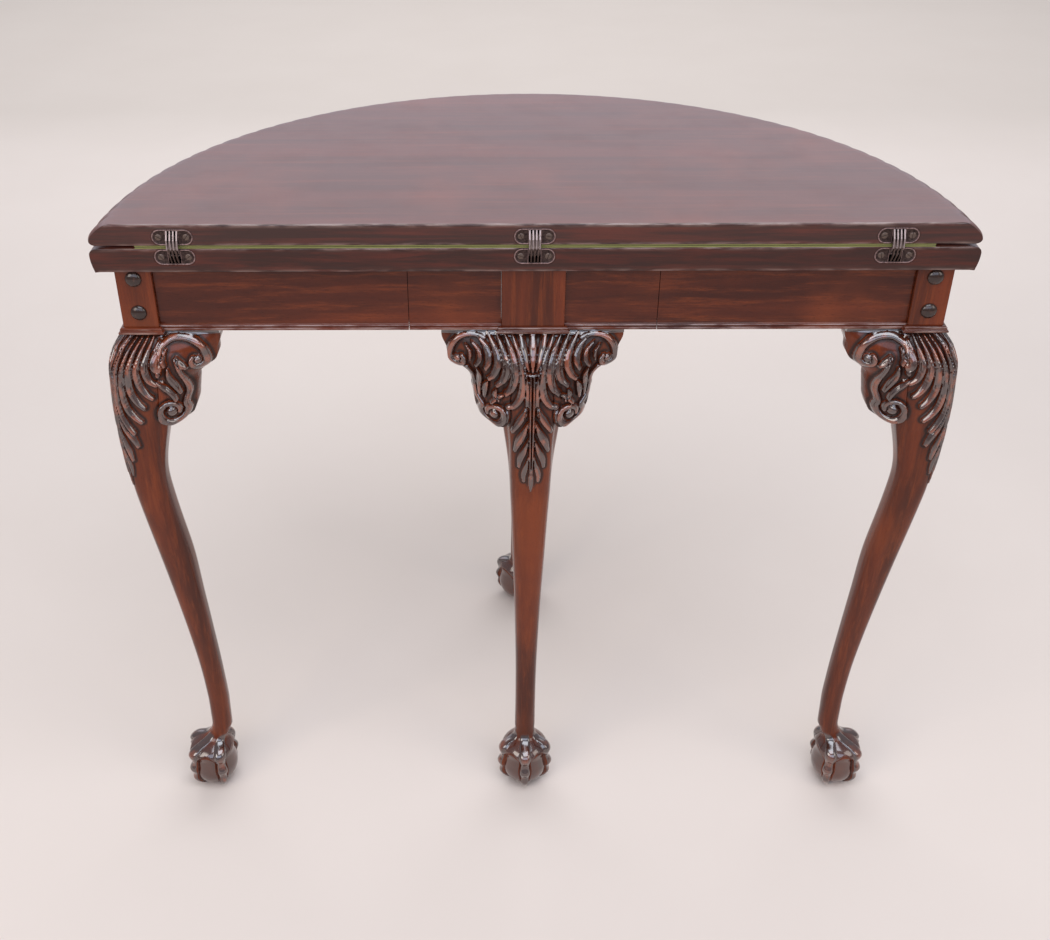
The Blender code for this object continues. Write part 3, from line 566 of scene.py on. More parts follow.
def screw_mesh():
    """A countersunk screw that looks along -Y, with a slot across its head."""
    profile = (
        (screw_radius - 0.0008, 0.00002), (screw_radius - 0.0003, 0.0001),
        (screw_radius, 0.0003), (screw_radius, 0.0005),
        (screw_shank, 0.0021), (screw_shank, screw_length - 0.002), (0.0002, screw_length),
    )
    screw = skin("screw", turned(profile, screw_sides), screw_finish, screw_sharp_angle)
    slot = oblong(slot_run, screw_slot, 0, screw_sides)
    groove = np.array([[(x, inward, z) for x, z in slot] for inward in (-0.001, slot_cut)])
    cut_away(screw, [groove])
    mesh = screw.data
    mesh.set_sharp_from_angle(angle=math.radians(screw_sharp_angle))
    bpy.data.objects.remove(screw)
    return mesh


def soften_arrises(piece, width):
    soften = piece.modifiers.new("soft arrises", "BEVEL")
    soften.width, soften.segments, soften.limit_method = width, 2, "ANGLE"


screw_shape = screw_mesh()
screw_turns = iter((0.5, 2.2, 1.1, 0.2, 2.8, 1.6, 0.9, 2.5, 0.3, 1.9, 1.3, 0.7))
sleeve, slot = (oblong(slot_width, slot_height, grow) for grow in (sleeve_wall, 0))
lip = oblong(slot_width, slot_height, lip_width)
plate_lip = (lip_rise, lip), (0, lip * lip_round), (0, slot), (lip_inside, slot), (slot_depth, slot)
worn = {"wear": np.repeat(plate_rub_and_highlight, outline_points)}
for level, way, body in (("upper", 1, "folding_leaf"), ("lower", -1, "root")):
    for place, x in hinge_places.items():
        plate_middle = (x, fold_height + way * plate_reach)
        slot_middle = (x, fold_height + way * slot_reach)
        rows = [(end, sleeve, slot_middle) for end in (slot_depth + sleeve_wall, plate_thick)]
        for inward, inset in plate_rim:
            rows.append((inward, stadium(plate_length, plate_height, -inset), plate_middle))
        rows += [(inward, outline, slot_middle) for inward, outline in plate_lip]
        name = f"hinge_{level}_plate_{place}"
        plate = skin(name + "_rimmed", through(rows), plate_finish, plate_sharp_angle, worn)
        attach(plate, body)
        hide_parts(name)
        for end, side in (("a", -1), ("b", 1)):
            name = f"hinge_{level}_screw_{place}_{end}"
            screw = bpy.data.objects.new(name + "_slotted", screw_shape)
            screw.location = (x + side * screw_spacing, back_edge, plate_middle[1])
            screw.rotation_euler.y = next(screw_turns)
            scene.collection.objects.link(screw)
            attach(screw, body)
            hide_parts(name)
        blades = nodes[f"hinge_{level}_links_{place}"]
        for surface in blades.material_slots:
            surface.material = blade_finish[level]
        soften_arrises(blades, blade_arris)

# Cabriole legs
# Each leg is cut from one thick piece of mahogany with its stile: a square stile, a carved knee, an
# S-shaped shaft and a claw-and-ball foot. The leaf on the knee and the claws are cut in by hand.
frame_reach = 0.3986
joint_gap, seat_gap = 0.0003, 0.0006
stile_top = under_low.z - joint_gap
knee_top = stile_top - 0.0667
stile_setback, stile_step, stile_pinch = 0.006, 0.0004, 0.9985
stile_face = back_edge + stile_setback
narrow_half = 0.0174
wide_half_width, wide_half_depth = 0.0307, 0.019
knee_bulge, knee_side = 0.0225, 0.060
ankle_inset, ankle_side = 0.0157, 0.0238
knee_squareness, ankle_squareness, stile_squareness = 4, 2.6, 40
leg_shares = (
    (0.977, 0.19, 0.8, 0.8), (0.93, 0.045, 0.945, 0.92), (0.882, 0.002, 1, 0.92),
    (0.84, 0.005, 1, 0.8), (0.794, 0.041, 0.765, 0.57), (0.747, 0.113, 0.586, 0.37),
    (0.7, 0.19, 0.503, 0.33), (0.644, 0.295, 0.414, 0.31), (0.559, 0.462, 0.309, 0.29),
    (0.47, 0.633, 0.182, 0.18), (0.378, 0.795, 0.088, 0.088), (0.28, 0.936, 0.017, 0.017),
    (0.194, 1, 0, 0),
)
foot_height, foot_inset, foot_reach, foot_splay = 0.084, 0.0205, 0.0345, 0.0085
foot_shares = (
    (1, 0.05, 0.365, 0.37), (0.88, 0.3, 0.362, 0.37), (0.8, 0.6, 0.41, 0.46),
    (0.73, 0.88, 0.6, 0.8), (0.66, 1, 0.74, 0.94), (0.52, 1, 0.76, 0.95), (0.42, 1, 0.8, 0.985),
    (0.31, 1, 0.83, 0.98), (0.19, 1, 0.77, 0.92), (0.08, 1, 0.6, 0.78), (0, 1, 0.38, 0.6),
)
toe_turns = tuple(math.radians(turn) for turn in (0, 75, 180, 285, 360))
toe_half_widths = (
    (0, 0.001), (0.006, 0.0034), (0.014, 0.005), (0.024, 0.0052), (0.033, 0.0072),
    (0.042, 0.0056), (0.049, 0.006), (0.057, 0.0076), (0.066, 0.0058), (0.084, 0.0045),
)
toe_lifts = (
    (0, -0.001), (0.006, -0.0006), (0.016, 0), (0.0245, -0.0026), (0.033, 0.0002),
    (0.042, -0.0026), (0.049, -0.0014), (0.057, 0), (0.066, -0.0004), (0.084, -0.0006),
)
toe_roundness, crease_width, crease_depth, crease_top = 0.8, 0.0011, 0.0009, 0.05
ball_inset, web_arch, web_drop, web_proud = 0.0006, 0.056, 0.021, 0.0021
web_edge, web_fade = (-0.0007, 0.0009), (0.058, 0.072)
foot_line = (0.06, 0.08)
shaft_end = 0.124
carved_depth = 0.0052
leaf_end, leaf_tip_taper, under_cap = 0.452, (0.466, 0.532), (0.6325, 0.6347)
buried, edge_of_knee = (0.007, 0.013), (0.0, 0.45)
smoothing, smoothing_fade = 0.012, 0.02
row_in_carving, row_in_shaft, row_in_foot = 0.0009, 0.006, 0.001
columns_on_carved_face, columns_on_plain_face = 60, 32
leg_sharp_angle = 62

# The carver's drawing is in millimetres, its heights are shares of the carving's depth, and its
# shades run from 0 in the darkest ground to 1 on the crests. Low shades are painted shade.
plain_shade = 0.52
stroke_edge, stroke_margin, open_ground = 0.12, 4.5, 9.0
vein_place, vein_width, second_vein, narrowest_veined = (0.3, -0.4), 0.012, 0.7, 2.4
v_cut_reach, v_cut_depth = 0.28, 0.62
steps_per_point, volute_steps = 8, 14
volute_gap, volute_tightness, eye_rim = 1.2, 1.3, 0.6
flank, ground = 0.35, 0.02


def eased(value, low, high):
    """0 below low and 1 above high, smoothly."""
    t = np.clip((value - low) / (high - low), 0, 1)
    return t * t * (3 - 2 * t)


class Relief:
    """A carver's drawing over a knee. x runs out from the leaf's middle and z up. Height goes from
    0 in the ground to 1 on a crest, under is the stroke below, and room the way to the nearest."""

    def __init__(self, x, z):
        self.x, self.z = x.ravel() * 1000, z.ravel() * 1000
        self.shape = x.shape
        self.height = np.zeros(self.x.size)
        self.under = np.zeros(self.x.size)
        self.room = np.full(self.x.size, open_ground)

    def lay(self, here, rise):
        self.under[here] = np.maximum(self.under[here], np.minimum(self.height[here], rise))
        self.height[here] = np.maximum(self.height[here], rise)

    def nearest(self, line, margin):
        """The points near a line, and each one's distance, place along it and side of it."""
        low, high = line.min(0) - margin, line.max(0) + margin
        inside = (self.x > low[0]) & (self.x < high[0]) & (self.z > low[1]) & (self.z < high[1])
        here = np.flatnonzero(inside)
        start, run = line[:-1], np.diff(line, axis=0)
        gap_x = self.x[here, None] - start[:, 0]
        gap_z = self.z[here, None] - start[:, 1]
        share = (gap_x * run[:, 0] + gap_z * run[:, 1]) / (run**2).sum(1)
        share = np.clip(share, 0, 1)
        gap_x, gap_z = gap_x - share * run[:, 0], gap_z - share * run[:, 1]
        gap = np.hypot(gap_x, gap_z)
        best = gap.argmin(1)
        pick = np.arange(len(here)), best
        side = np.sign(run[best, 0] * gap_z[pick] - run[best, 1] * gap_x[pick])
        return here, gap[pick], (best + share[pick]) / len(run), side

    def lobe(self, points, widths, crest=1.0, vein=0.26, lean=0.3):
        """A rounded stroke through a few points, with its half width at start, middle and end."""
        points = np.array(points, float)
        steps = steps_per_point * len(points)
        line = flow(np.linspace(0, 1, steps), np.linspace(0, 1, len(points)), points)
        here, gap, share, side = self.nearest(line, max(widths) + stroke_margin)
        if not len(here):
            return
        half = flow(share, (0, 0.5, 1), widths)
        self.room[here] = np.minimum(self.room[here], gap - half)
        off = np.clip(gap / half, 0, 1)
        rise = crest * np.sqrt(1 - off**2) * (1 - lean * side * off)
        first, second = (np.exp(-((side * off - at) ** 2) / vein_width) for at in vein_place)
        veined = eased(share, 0.02, 0.3) * (1 - eased(share, 0.6, 0.95)) * (half > narrowest_veined)
        rise -= vein * crest * (first + second_vein * second) * veined
        rise = np.where(gap < half, stroke_edge * crest + (1 - stroke_edge) * rise, 0)
        self.lay(here, np.clip(rise, 0, 1))

    def scroll(self, centre, radius, eye, start, turns, widths, lead):
        """A volute that winds in to its eye, with the band that leads to it."""
        share = np.linspace(0, 1, int(volute_steps * turns))
        turn = math.radians(start) - math.tau * turns * share
        far = radius + (eye + volute_gap - radius) * share**volute_tightness
        winding = np.stack([centre[0] + far * np.cos(turn), centre[1] + far * np.sin(turn)], -1)
        self.lobe(list(lead) + winding.tolist(), widths, 1, 0, -0.3)
        off = np.hypot(self.x - centre[0], self.z - centre[1]) / (eye + eye_rim)
        ball = np.sqrt(np.clip(1 - off**2, 0, 1))
        self.lay(np.arange(self.x.size), ball)

    def result(self):
        """Height, with a V cut where two strokes touch, and painted shade, dark on low flanks and
        in the ground near them.
        """
        close = np.clip(1 - (self.height - self.under) / v_cut_reach, 0, 1)
        close *= eased(self.under, 0.05, 0.3)
        height = self.height * (1 - v_cut_depth * close**1.5)
        # Low flanks and the ground near strokes get dark shades: painted shade.
        crests = 0.6 + 0.4 * (height - flank) / (1 - flank)
        worked = np.where(height > flank, crests, 0.3 * height)
        shade = np.where(height > ground, worked, plain_shade * eased(self.room, 0.6, 5.5))
        return height.reshape(self.shape), shade.reshape(self.shape)


# The strokes of half a leaf, in millimetres: points, then half widths at start, middle and end.
leaf_spine = (((1.7, 595), (1.8, 545), (1.0, 470)), (1.3, 1.7, 0.8))
leaf_fan = (
    (((0, 600), (0, 617), (0, 633)), (1.2, 3.8, 3.2)),
    (((3.4, 600), (7.4, 615), (11.4, 632)), (1.0, 3.6, 3.2)),
    (((-5, 597.5), (0, 596), (5, 597.5)), (1.2, 1.6, 1.2)),
)
middle_strokes = (
    (((20, 632), (12.5, 612), (9.5, 592), (11.5, 574), (18, 563), (24, 560)), (1.8, 4.9, 3.2)),
    (((28, 633), (20.5, 615), (17.6, 597), (20.5, 582), (27, 574)), (1.6, 4.6, 3.0)),
    (((36, 633), (29, 617), (26, 602), (29, 589), (35, 582)), (1.6, 4.5, 2.8)),
    (((45, 633), (37.5, 620), (34.5, 606), (38, 594), (43, 588)), (1.5, 4.4, 2.8)),
    (((54, 629), (46, 620), (43.5, 608), (46.5, 599)), (1.4, 4.0, 2.8)),
    (((60, 624), (54, 617), (52.6, 608), (56, 601)), (1.2, 3.2, 2.4)),
    (((66, 621), (62, 614), (62, 606)), (1.0, 2.2, 1.6)),
    (((9, 606), (5.9, 588), (5.6, 567), (6.4, 549)), (1.0, 2.6, 1.4)),
    (((28, 573), (35, 568), (41, 561)), (1.4, 2.8, 2.0)),
    (((55, 596), (53, 588), (54, 576), (53, 566)), (1.6, 3.6, 2.0)),
    (((45, 583), (47.5, 575), (48, 566)), (1.6, 3.6, 2.2)),
    (((36, 577), (37.5, 571), (34, 565)), (1.4, 3.0, 2.0)),
    (((4, 564), (9, 551), (15, 541), (20, 533)), (1.0, 4.2, 3.2)),
    (((4, 543), (8.5, 530), (14, 519), (17, 510)), (1.0, 4.6, 2.8)),
    (((3.4, 522), (7.5, 509), (11.5, 499), (12.8, 490)), (1.0, 3.8, 2.2)),
    (((2.8, 502), (5.4, 489), (7.8, 479), (7.4, 471)), (0.8, 3.0, 1.5)),
    (((0, 486), (0, 471), (0, 458)), (1.2, 3.0, 1.2)),
)
corner_strokes = (
    (
        ((16, 632), (11, 614), (7, 596), (6.4, 572), (9, 554), (15, 541), (20.5, 532)),
        (1.8, 4.3, 3.2),
    ),
    (
        ((24, 632), (19, 614), (15, 596), (14.6, 577), (18, 561), (24, 551), (30, 545)),
        (1.6, 4.4, 3.0),
    ),
    (((32, 632), (26.5, 615), (23, 598), (23.5, 581), (29, 568), (35, 561)), (1.6, 4.5, 3.0)),
    (((40, 632), (34.5, 616), (31.5, 601), (33.5, 587), (39, 577), (44, 572)), (1.5, 4.5, 2.8)),
    (((48, 632), (42.5, 617), (40, 604), (43, 592), (48, 586)), (1.5, 4.4, 2.8)),
    (((56, 627), (50.5, 616), (49, 605), (53, 596)), (1.4, 4.2, 3.0)),
    (((62, 619), (58.5, 612), (59.5, 604)), (1.2, 3.0, 2.2)),
    (((71, 611), (74.5, 604), (79, 600)), (1.8, 4.2, 2.8)),
    (((51, 588), (57, 581), (63, 573), (66, 565)), (1.6, 3.2, 2.2)),
    (((62, 600), (62.5, 592), (67, 582), (71, 572)), (1.4, 3.6, 2.0)),
    (((3.6, 562), (7, 548), (13, 535), (19, 524), (22, 516)), (1.0, 4.6, 2.8)),
    (((3.2, 536), (6.4, 522), (10.5, 509), (12.6, 499)), (1.0, 4.2, 2.4)),
    (((2.8, 513), (5.2, 500), (7.4, 489), (7, 480)), (0.8, 3.3, 1.6)),
    (((0, 494), (0, 480), (0, 466)), (1.2, 2.9, 1.2)),
)

# The scrolls at an ear's foot and tip: centre, radius, the eye's radius, start in degrees, turns,
# the band's half widths, and the points that lead it in.
middle_scrolls = (
    (
        (38.5, 548), 13.5, 5, 30, 1.1, (2.2, 3.9, 2.8),
        ((65, 597), (60, 588), (57.5, 575), (56, 564)),
    ),
    (
        (74.5, 605), 8.6, 4, 8, 0.62, (2.8, 4.4, 3),
        ((48, 628), (59, 630.5), (71, 628), (79, 619)),
    ),
)
corner_scrolls = (
    (
        (60.5, 552.5), 14.5, 5.4, 25, 1.1, (2.6, 3.9, 2.8),
        ((70, 609), (72, 598), (75.5, 585), (78, 572)),
    ),
    (
        (91, 605.5), 8.2, 4.2, 12, 0.62, (3.2, 4.6, 3),
        ((57, 612), (58, 622), (69, 629), (84, 627.5), (95, 619)),
    ),
)
drawings = {"middle": (middle_strokes, middle_scrolls), "corner": (corner_strokes, corner_scrolls)}


def knee_relief(x, z, kind):
    """The whole drawing for a kind of knee: fan, leaves, spine and scrolls."""
    strokes, scrolls = drawings[kind]
    drawing = Relief(x, z)
    for points, widths in leaf_fan:
        drawing.lobe(points, widths, 0.95, 0)
    for points, widths in strokes:
        drawing.lobe(points, widths)
    drawing.lobe(*leaf_spine, 1, 0, 0)
    for scroll in scrolls:
        drawing.scroll(*scroll)
    return drawing.result()


def raised(place, z):
    """Rows of points in plan, each row at its height."""
    level = np.broadcast_to(z[:, None, None], (*place.shape[:2], 1))
    return np.concatenate([place, level], -1)


class Leg:
    """Where a leg stands: its stile's middle and half sizes, the way its knee points and the way
    its foot turns out."""

    def __init__(self, middle, half, spine, splay):
        self.middle, self.half, self.spine = np.array(middle), np.array(half), np.array(spine)
        self.corner = bool(spine[0])
        self.kind = "corner" if self.corner else "middle"
        knots = [(knee_top, *middle, *half, 3 * knee_squareness)]
        for height, bend, middle_share, corner_share in leg_shares:
            share = corner_share if self.corner else middle_share
            side = ankle_side + (knee_side - ankle_side) * share
            inset = -knee_bulge + (ankle_inset + knee_bulge) * bend
            centre = self.centre(inset, side)
            square = ankle_squareness + (knee_squareness - ankle_squareness) * share
            knots.append((knee_top * height, *centre, side / 2, side / 2, square))
        self.knots = np.array(knots[::-1])
        self.ankle = self.centre(ankle_inset, ankle_side)
        self.foot = self.centre(foot_inset, 0) + foot_splay * np.array(splay)

    def centre(self, inset, side):
        return self.middle + self.spine * (self.half - inset - side / 2)

    def at(self, z):
        """Middle, half sizes and squareness at each height of the knee and shaft."""
        z = np.asarray(z, float)
        slack = smoothing * np.clip((knee_top - z) / smoothing_fade, 0, 1)
        around = [
            flow(z + slack * step, self.knots[:, 0], self.knots[:, 1:5])
            for step in (-1, -0.5, 0, 0.5, 1)
        ]
        rows = sum(around) / len(around)
        return rows[..., :2], rows[..., 2:4], np.interp(z, self.knots[:, 0], self.knots[:, 5])

    def reach(self, z, way):
        """How far out the leg's uncarved face lies one way."""
        middle, half, _ = self.at(z)
        return (middle * way).sum(-1) + (half * np.abs(way)).sum(-1)

    def columns(self):
        """Points round a square of half size 1, closer together on the faces that are carved."""
        points = []
        for normal in np.array([(1, 0), (0, 1), (-1, 0), (0, -1)]):
            along = np.array((-normal[1], normal[0]))
            count = columns_on_carved_face if normal @ self.spine > 0 else columns_on_plain_face
            points += [normal + along * (2 * step / count - 1) for step in range(count)]
        return np.array(points)

    def knee_and_shaft(self, z, square):
        """Rows with the leaf carved in, laid out over the two outer faces or across the front."""
        middle, half, squareness = self.at(z)
        power = squareness[:, None]
        a, b = square[:, 0], square[:, 1]
        rounding = (np.abs(a) ** power + np.abs(b) ** power) ** (-1 / power)
        unit = square[None] * rounding[..., None]
        place = unit * half[:, None]
        out = np.sign(unit) * np.abs(unit) ** (power[..., None] - 1) / half[:, None]
        out /= np.linalg.norm(out, axis=-1, keepdims=True)
        if self.corner:
            inside = half[:, None] - place * self.spine
            across = np.abs(inside[..., 0] - inside[..., 1])
            hidden = inside.min(-1)
            share = np.clip(across / (2 * half[:, None, 0]), 0, 1)
            outermost = np.abs(self.middle + self.spine * (self.half + knee_bulge))[0]
            drift = outermost - (np.abs(middle[:, 0]) + half[:, 0])
            chart = across + share * drift[:, None]
            mask = 1 - eased(hidden, *buried)
        else:
            chart = np.abs(place[..., 0])
            mask = eased((place * self.spine).sum(-1) / half[:, None, 1], *edge_of_knee)
        level = np.broadcast_to(z[:, None], chart.shape)
        relief, shade = knee_relief(chart, level, self.kind)
        tapered = eased(z, *leaf_tip_taper)
        below_cap = 1 - eased(z, *under_cap)
        sunk = (0.1 + 0.9 * tapered) * eased(z, leaf_end - 0.012, leaf_end + 0.03) * below_cap
        proud = 0.3 + 0.7 * tapered
        move = carved_depth * (relief * proud[:, None] - sunk[:, None]) * mask
        move *= (eased(z, leaf_end - 0.006, leaf_end + 0.008) * below_cap)[:, None]
        move = np.where(sunk[:, None] > 0.99, np.minimum(move, 0), move)
        place = place + out * move[..., None] + middle[:, None]
        carved = mask * eased(z, leaf_end, leaf_end + 0.02)[:, None]
        return raised(place, z), shade * carved + plain_shade * (1 - carved)

    def claw_foot(self, z, square):
        """A ball in the grip of four clawed toes, with webs between the toes."""
        heights = [foot_height * row[0] for row in foot_shares[::-1]]
        moved, ball, toe = (
            flow(z, heights, [row[k] for row in foot_shares[::-1]])[:, None] for k in (1, 2, 3)
        )
        ball, toe = ball * foot_reach, toe * foot_reach
        facing = math.atan2(self.spine[1], self.spine[0])
        turn = (np.arctan2(square[:, 1], square[:, 0]) - facing) % math.tau
        turns = np.array(toe_turns)
        gap = turn[:, None] - turns
        nearest = np.abs(gap).min(1)
        before = np.searchsorted(turns, turn, side="right") - 1
        before = np.clip(before, 0, len(turns) - 2)
        span = turns[before + 1] - turns[before]
        across_gap = 2 * (turn - turns[before]) / span - 1
        toe = toe + flow(z, *zip(*toe_lifts))[:, None]
        width = flow(z, *zip(*toe_half_widths))[:, None]
        arc = nearest[None] * 0.9 * np.maximum(toe, ball)
        off = np.clip(arc / width, 0, 1)
        arch = web_arch - web_drop * across_gap**2
        webbed = eased(z[:, None] - arch[None], *web_edge)
        skinned = webbed * (1 - eased(z, *web_fade))[:, None]
        base = ball - ball_inset + web_proud * skinned
        crease = np.exp(-(((arc - width) / crease_width) ** 2)) * (1 - webbed)
        grip = np.sqrt(1 - off**2) ** toe_roundness
        reach = base + np.maximum(toe - base, 0) * grip
        reach -= crease_depth * crease * (z < crease_top)[:, None]
        middle = self.ankle + (self.foot - self.ankle) * moved
        way = np.stack([np.cos(turn + facing), np.sin(turn + facing)], -1)
        place = middle[:, None] + reach[..., None] * way[None]
        # Painted shade: the creases round the toes, the line where each web meets the ball and the
        # lowest 8 mm above the floor are made dark.
        shade = 0.62 + 0.3 * grip * (off < 1) - 0.6 * crease
        shade -= 0.25 * (1 - eased(z, 0.0, 0.008))[:, None]
        edge = np.exp(-(((z[:, None] - arch[None] + 0.0012) / crease_width) ** 2)) * (off >= 1)
        plain = eased(z, *foot_line)[:, None]
        shade = (shade - 0.5 * edge) * (1 - plain) + plain_shade * plain
        return raised(place, z), np.clip(shade, 0, 1)

    def build(self, name, finish):
        """The leg from its stile's top to the floor, as one skin."""
        square = self.columns()
        rounding = (np.abs(square) ** stile_squareness).sum(-1) ** (-1 / stile_squareness)
        stile = []
        for z in (stile_top, stile_top - stile_step, knee_top + 0.004, knee_top):
            pinch = stile_pinch if z == stile_top else 1
            place = self.middle + self.half * square * rounding[:, None] * pinch
            stile.append(np.column_stack([place, np.full(len(square), z)]))
        knee = np.arange(knee_top - seat_gap, leaf_end - 0.012, -row_in_carving)
        shaft = np.arange(leaf_end - 0.014, shaft_end, -row_in_shaft)
        places, shades = self.knee_and_shaft(np.concatenate([knee, shaft]), square)
        foot, claw_shades = self.claw_foot(np.arange(foot_height, 0, -row_in_foot), square)
        neck_share = np.array([0.2, 0.4, 0.6, 0.8])[:, None, None]
        neck = places[-1] + (foot[0] - places[-1]) * neck_share
        floor_row, floor_shade = self.claw_foot(np.array([0.0]), square)
        rings = np.concatenate([np.array(stile), places, neck, foot, floor_row])
        plain = np.full((4, len(square)), plain_shade)
        shades = np.concatenate([plain, shades, plain, claw_shades, floor_shade])
        return skin(name, rings, finish, leg_sharp_angle, {"relief": shades})


leg_tones = (0.055, 0.0095, 0.003), (0.14, 0.024, 0.006), (0.235, 0.046, 0.0085)
leg_finish = mahogany(
    "carved mahogany", leg_tones, (11, 11, 0.7), 0.17, 0.27, (1, 2, 3), carved=True
)
corner_middle = (frame_reach - narrow_half, stile_face + narrow_half)
back_middle = (0, stile_face + wide_half_depth)
front_middle = (0, back_edge + frame_reach - wide_half_depth)
wide_half = (wide_half_width, wide_half_depth)
narrow = (narrow_half, narrow_half)
legs = {
    "corner_leg_left": Leg((-corner_middle[0], corner_middle[1]), narrow, (-1, -1), (-1, 0)),
    "corner_leg_right": Leg(corner_middle, narrow, (1, -1), (1, 0)),
    "centre_leg": Leg(back_middle, wide_half, (0, -1), (0, 0)),
    "front_leg": Leg(front_middle, wide_half, (0, 1), (0, 1)),
}
for name, leg in legs.items():
    carved = leg.build(name + "_carved", leg_finish)
    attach(carved, "pull_out_leg" if name == "centre_leg" else "root")
    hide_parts(name)

# Knee ears
# Carved brackets of mahogany, glued on beside the knees under the rails. The knee's leaf runs on
# across them into a rolled scroll at the tip and another at the foot.
ear_reach, ear_thick, ear_root_depth = 0.060, 0.025, 0.0295
ear_overlap, ear_start_depth, ear_root_step = 0.008, 0.0021, 0.006
ear_foot_round, ear_foot_lift, ear_least_width = 0.013, 0.012, 0.0006
rail_setback, ear_tip_setback, frieze_setback = 0.005, 0.001, 0.006
frieze_radius = frame_reach - frieze_setback
listel_height, listel_line, ear_under_cap = 0.75, (0.6295, 0.6305), (0.6325, 0.634)
ear_shares = (
    (0.838, 0.1), (0.84, 0.2), (0.846, 0.33), (0.86, 0.43), (0.881, 0.48), (0.901, 0.515),
    (0.923, 0.57), (0.934, 0.7), (0.945, 0.86), (0.966, 0.92), (0.986, 1), (1, 1),
)
ear_roundness = 1.7
corner_foot_rise = 0.0035
ear_columns, ear_back_columns = 72, 6
ear_row = 0.0008
ears = {
    "ear_left_back": ("corner_leg_left", (1, 0), (0, -1), False),
    "ear_left_side": ("corner_leg_left", (0, 1), (-1, 0), True),
    "ear_right_back": ("corner_leg_right", (-1, 0), (0, -1), False),
    "ear_right_side": ("corner_leg_right", (0, 1), (1, 0), True),
    "ear_centre_left": ("centre_leg", (-1, 0), (0, -1), False),
    "ear_centre_right": ("centre_leg", (1, 0), (0, -1), False),
    "ear_front_left": ("front_leg", (-1, 0), (0, 1), True),
    "ear_front_right": ("front_leg", (1, 0), (0, 1), True),
}


def ear(name, leg, out, front, bowed, finish):
    """A bracket that runs out from a leg under its rail, which may be bowed, and carries on the
    leg's leaf. Out is the way along the rail, and front the way that its carved face looks."""
    out, front = np.array(out), np.array(front)
    face = (leg.middle * front).sum() + (leg.half * np.abs(front)).sum()
    lowest = knee_top * ear_shares[0][0] + (corner_foot_rise if leg.corner else 0)
    z = np.append(np.arange(lowest, knee_top - seat_gap, ear_row), knee_top - joint_gap)
    root = leg.reach(np.array([lowest]), out)[0]
    inner = leg.reach(z, out)
    heights, shares = zip(*ear_shares)
    outer = root + ear_reach * flow(z / knee_top, heights, shares)
    outer = np.maximum(outer, inner + ear_least_width)
    inset = face - leg.reach(z, front)
    if bowed:
        from_back = outer - back_edge if out[1] else outer
        tip = frame_reach - np.sqrt(frieze_radius**2 - from_back**2) + ear_tip_setback
    else:
        tip = np.full_like(z, rail_setback + ear_tip_setback)
    rise = z - lowest
    round_foot = 1 - np.sqrt(1 - np.clip(1 - rise / ear_foot_round, 0, 1) ** 2)
    start = inner - ear_overlap + ear_foot_lift * round_foot
    outer = np.maximum(outer, start + ear_least_width)
    share = np.linspace(0, 1, ear_columns)[None]
    along = start[:, None] + (outer - start)[:, None] * share
    past = (along - inner[:, None]) / np.maximum(outer - inner, 0.001)[:, None]
    over = np.clip(1 + (along - inner[:, None]) / ear_overlap, 0, 1)
    on_leg = ear_start_depth + (ear_root_step - ear_start_depth) * over**2
    roll = np.clip(past, 0, 1) ** ear_roundness
    beyond = inset[:, None] + ear_root_step + (tip - inset - ear_root_step)[:, None] * roll
    depth = np.where(past < 0, inset[:, None] + on_leg, beyond)
    level = np.broadcast_to(z[:, None], along.shape)
    if leg.corner:
        outermost = (leg.middle * out).sum() - (leg.half * np.abs(out)).sum() - knee_bulge
        chart = along - outermost
    else:
        chart = along
    relief, shade = knee_relief(chart, level, leg.kind)
    listel = listel_height * eased(level, *listel_line)
    relief = np.maximum(relief, listel)
    depth = depth + carved_depth * (1 - relief) * (1 - eased(level, *ear_under_cap))
    back_share = np.linspace(1, 0, ear_back_columns)[None]
    back_along = start[:, None] + (outer - start)[:, None] * back_share
    behind = ear_root_depth + (tip[:, None] + ear_thick - ear_root_depth) * back_share
    along = np.concatenate([along, back_along], 1)
    depth = np.concatenate([depth, behind], 1)
    rings = raised(along[..., None] * out + (face - depth)[..., None] * front, z)
    back_shade = np.full(back_along.shape, plain_shade)
    shade = np.concatenate([np.maximum(shade, listel), back_shade], 1)
    return skin(name, rings, finish, leg_sharp_angle, {"relief": shade})


for name, (leg_name, out, front, bowed) in ears.items():
    carved = ear(name + "_carved", legs[leg_name], out, front, bowed, leg_finish)
    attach(carved, "pull_out_leg" if leg_name == "centre_leg" else "root")
    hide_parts(name)

# Stile caps
# A small stepped moulding of mahogany, mitred and glued round the foot of each stile, where the
# knee begins. Its beads are painted pale: partly rubbed wear, partly a painted highlight.
cap_height, cap_reach, cap_return = 0.0065, 0.0042, 0.0021
moulding_sharp_angle = 30
cap_shares = (
    (0, 0), (0.86, 0), (1, 0.07), (1, 0.33), (0.9, 0.4), (0.72, 0.43), (0.62, 0.5), (0.6, 0.62),
    (0.66, 0.7), (0.66, 0.8), (0.56, 0.88), (0.3, 0.96), (0, 1),
)
frame_tones = (0.042, 0.0075, 0.0035), (0.105, 0.0185, 0.006), (0.24, 0.048, 0.011)
cap_finish = mahogany("cap moulding", frame_tones, (0.8, 9, 9), 0.26, 0.3, (4, 2, 1), True)
# The rubbed beads of the cap are painted pale: partly wear, partly a painted highlight.
cap_rub_and_highlight = np.array([reach > 0.95 or 0.6 < height < 0.85 for reach, height in cap_shares], float)
cap_bodies = {"left": "root", "right": "root", "centre": "pull_out_leg", "front": "root"}


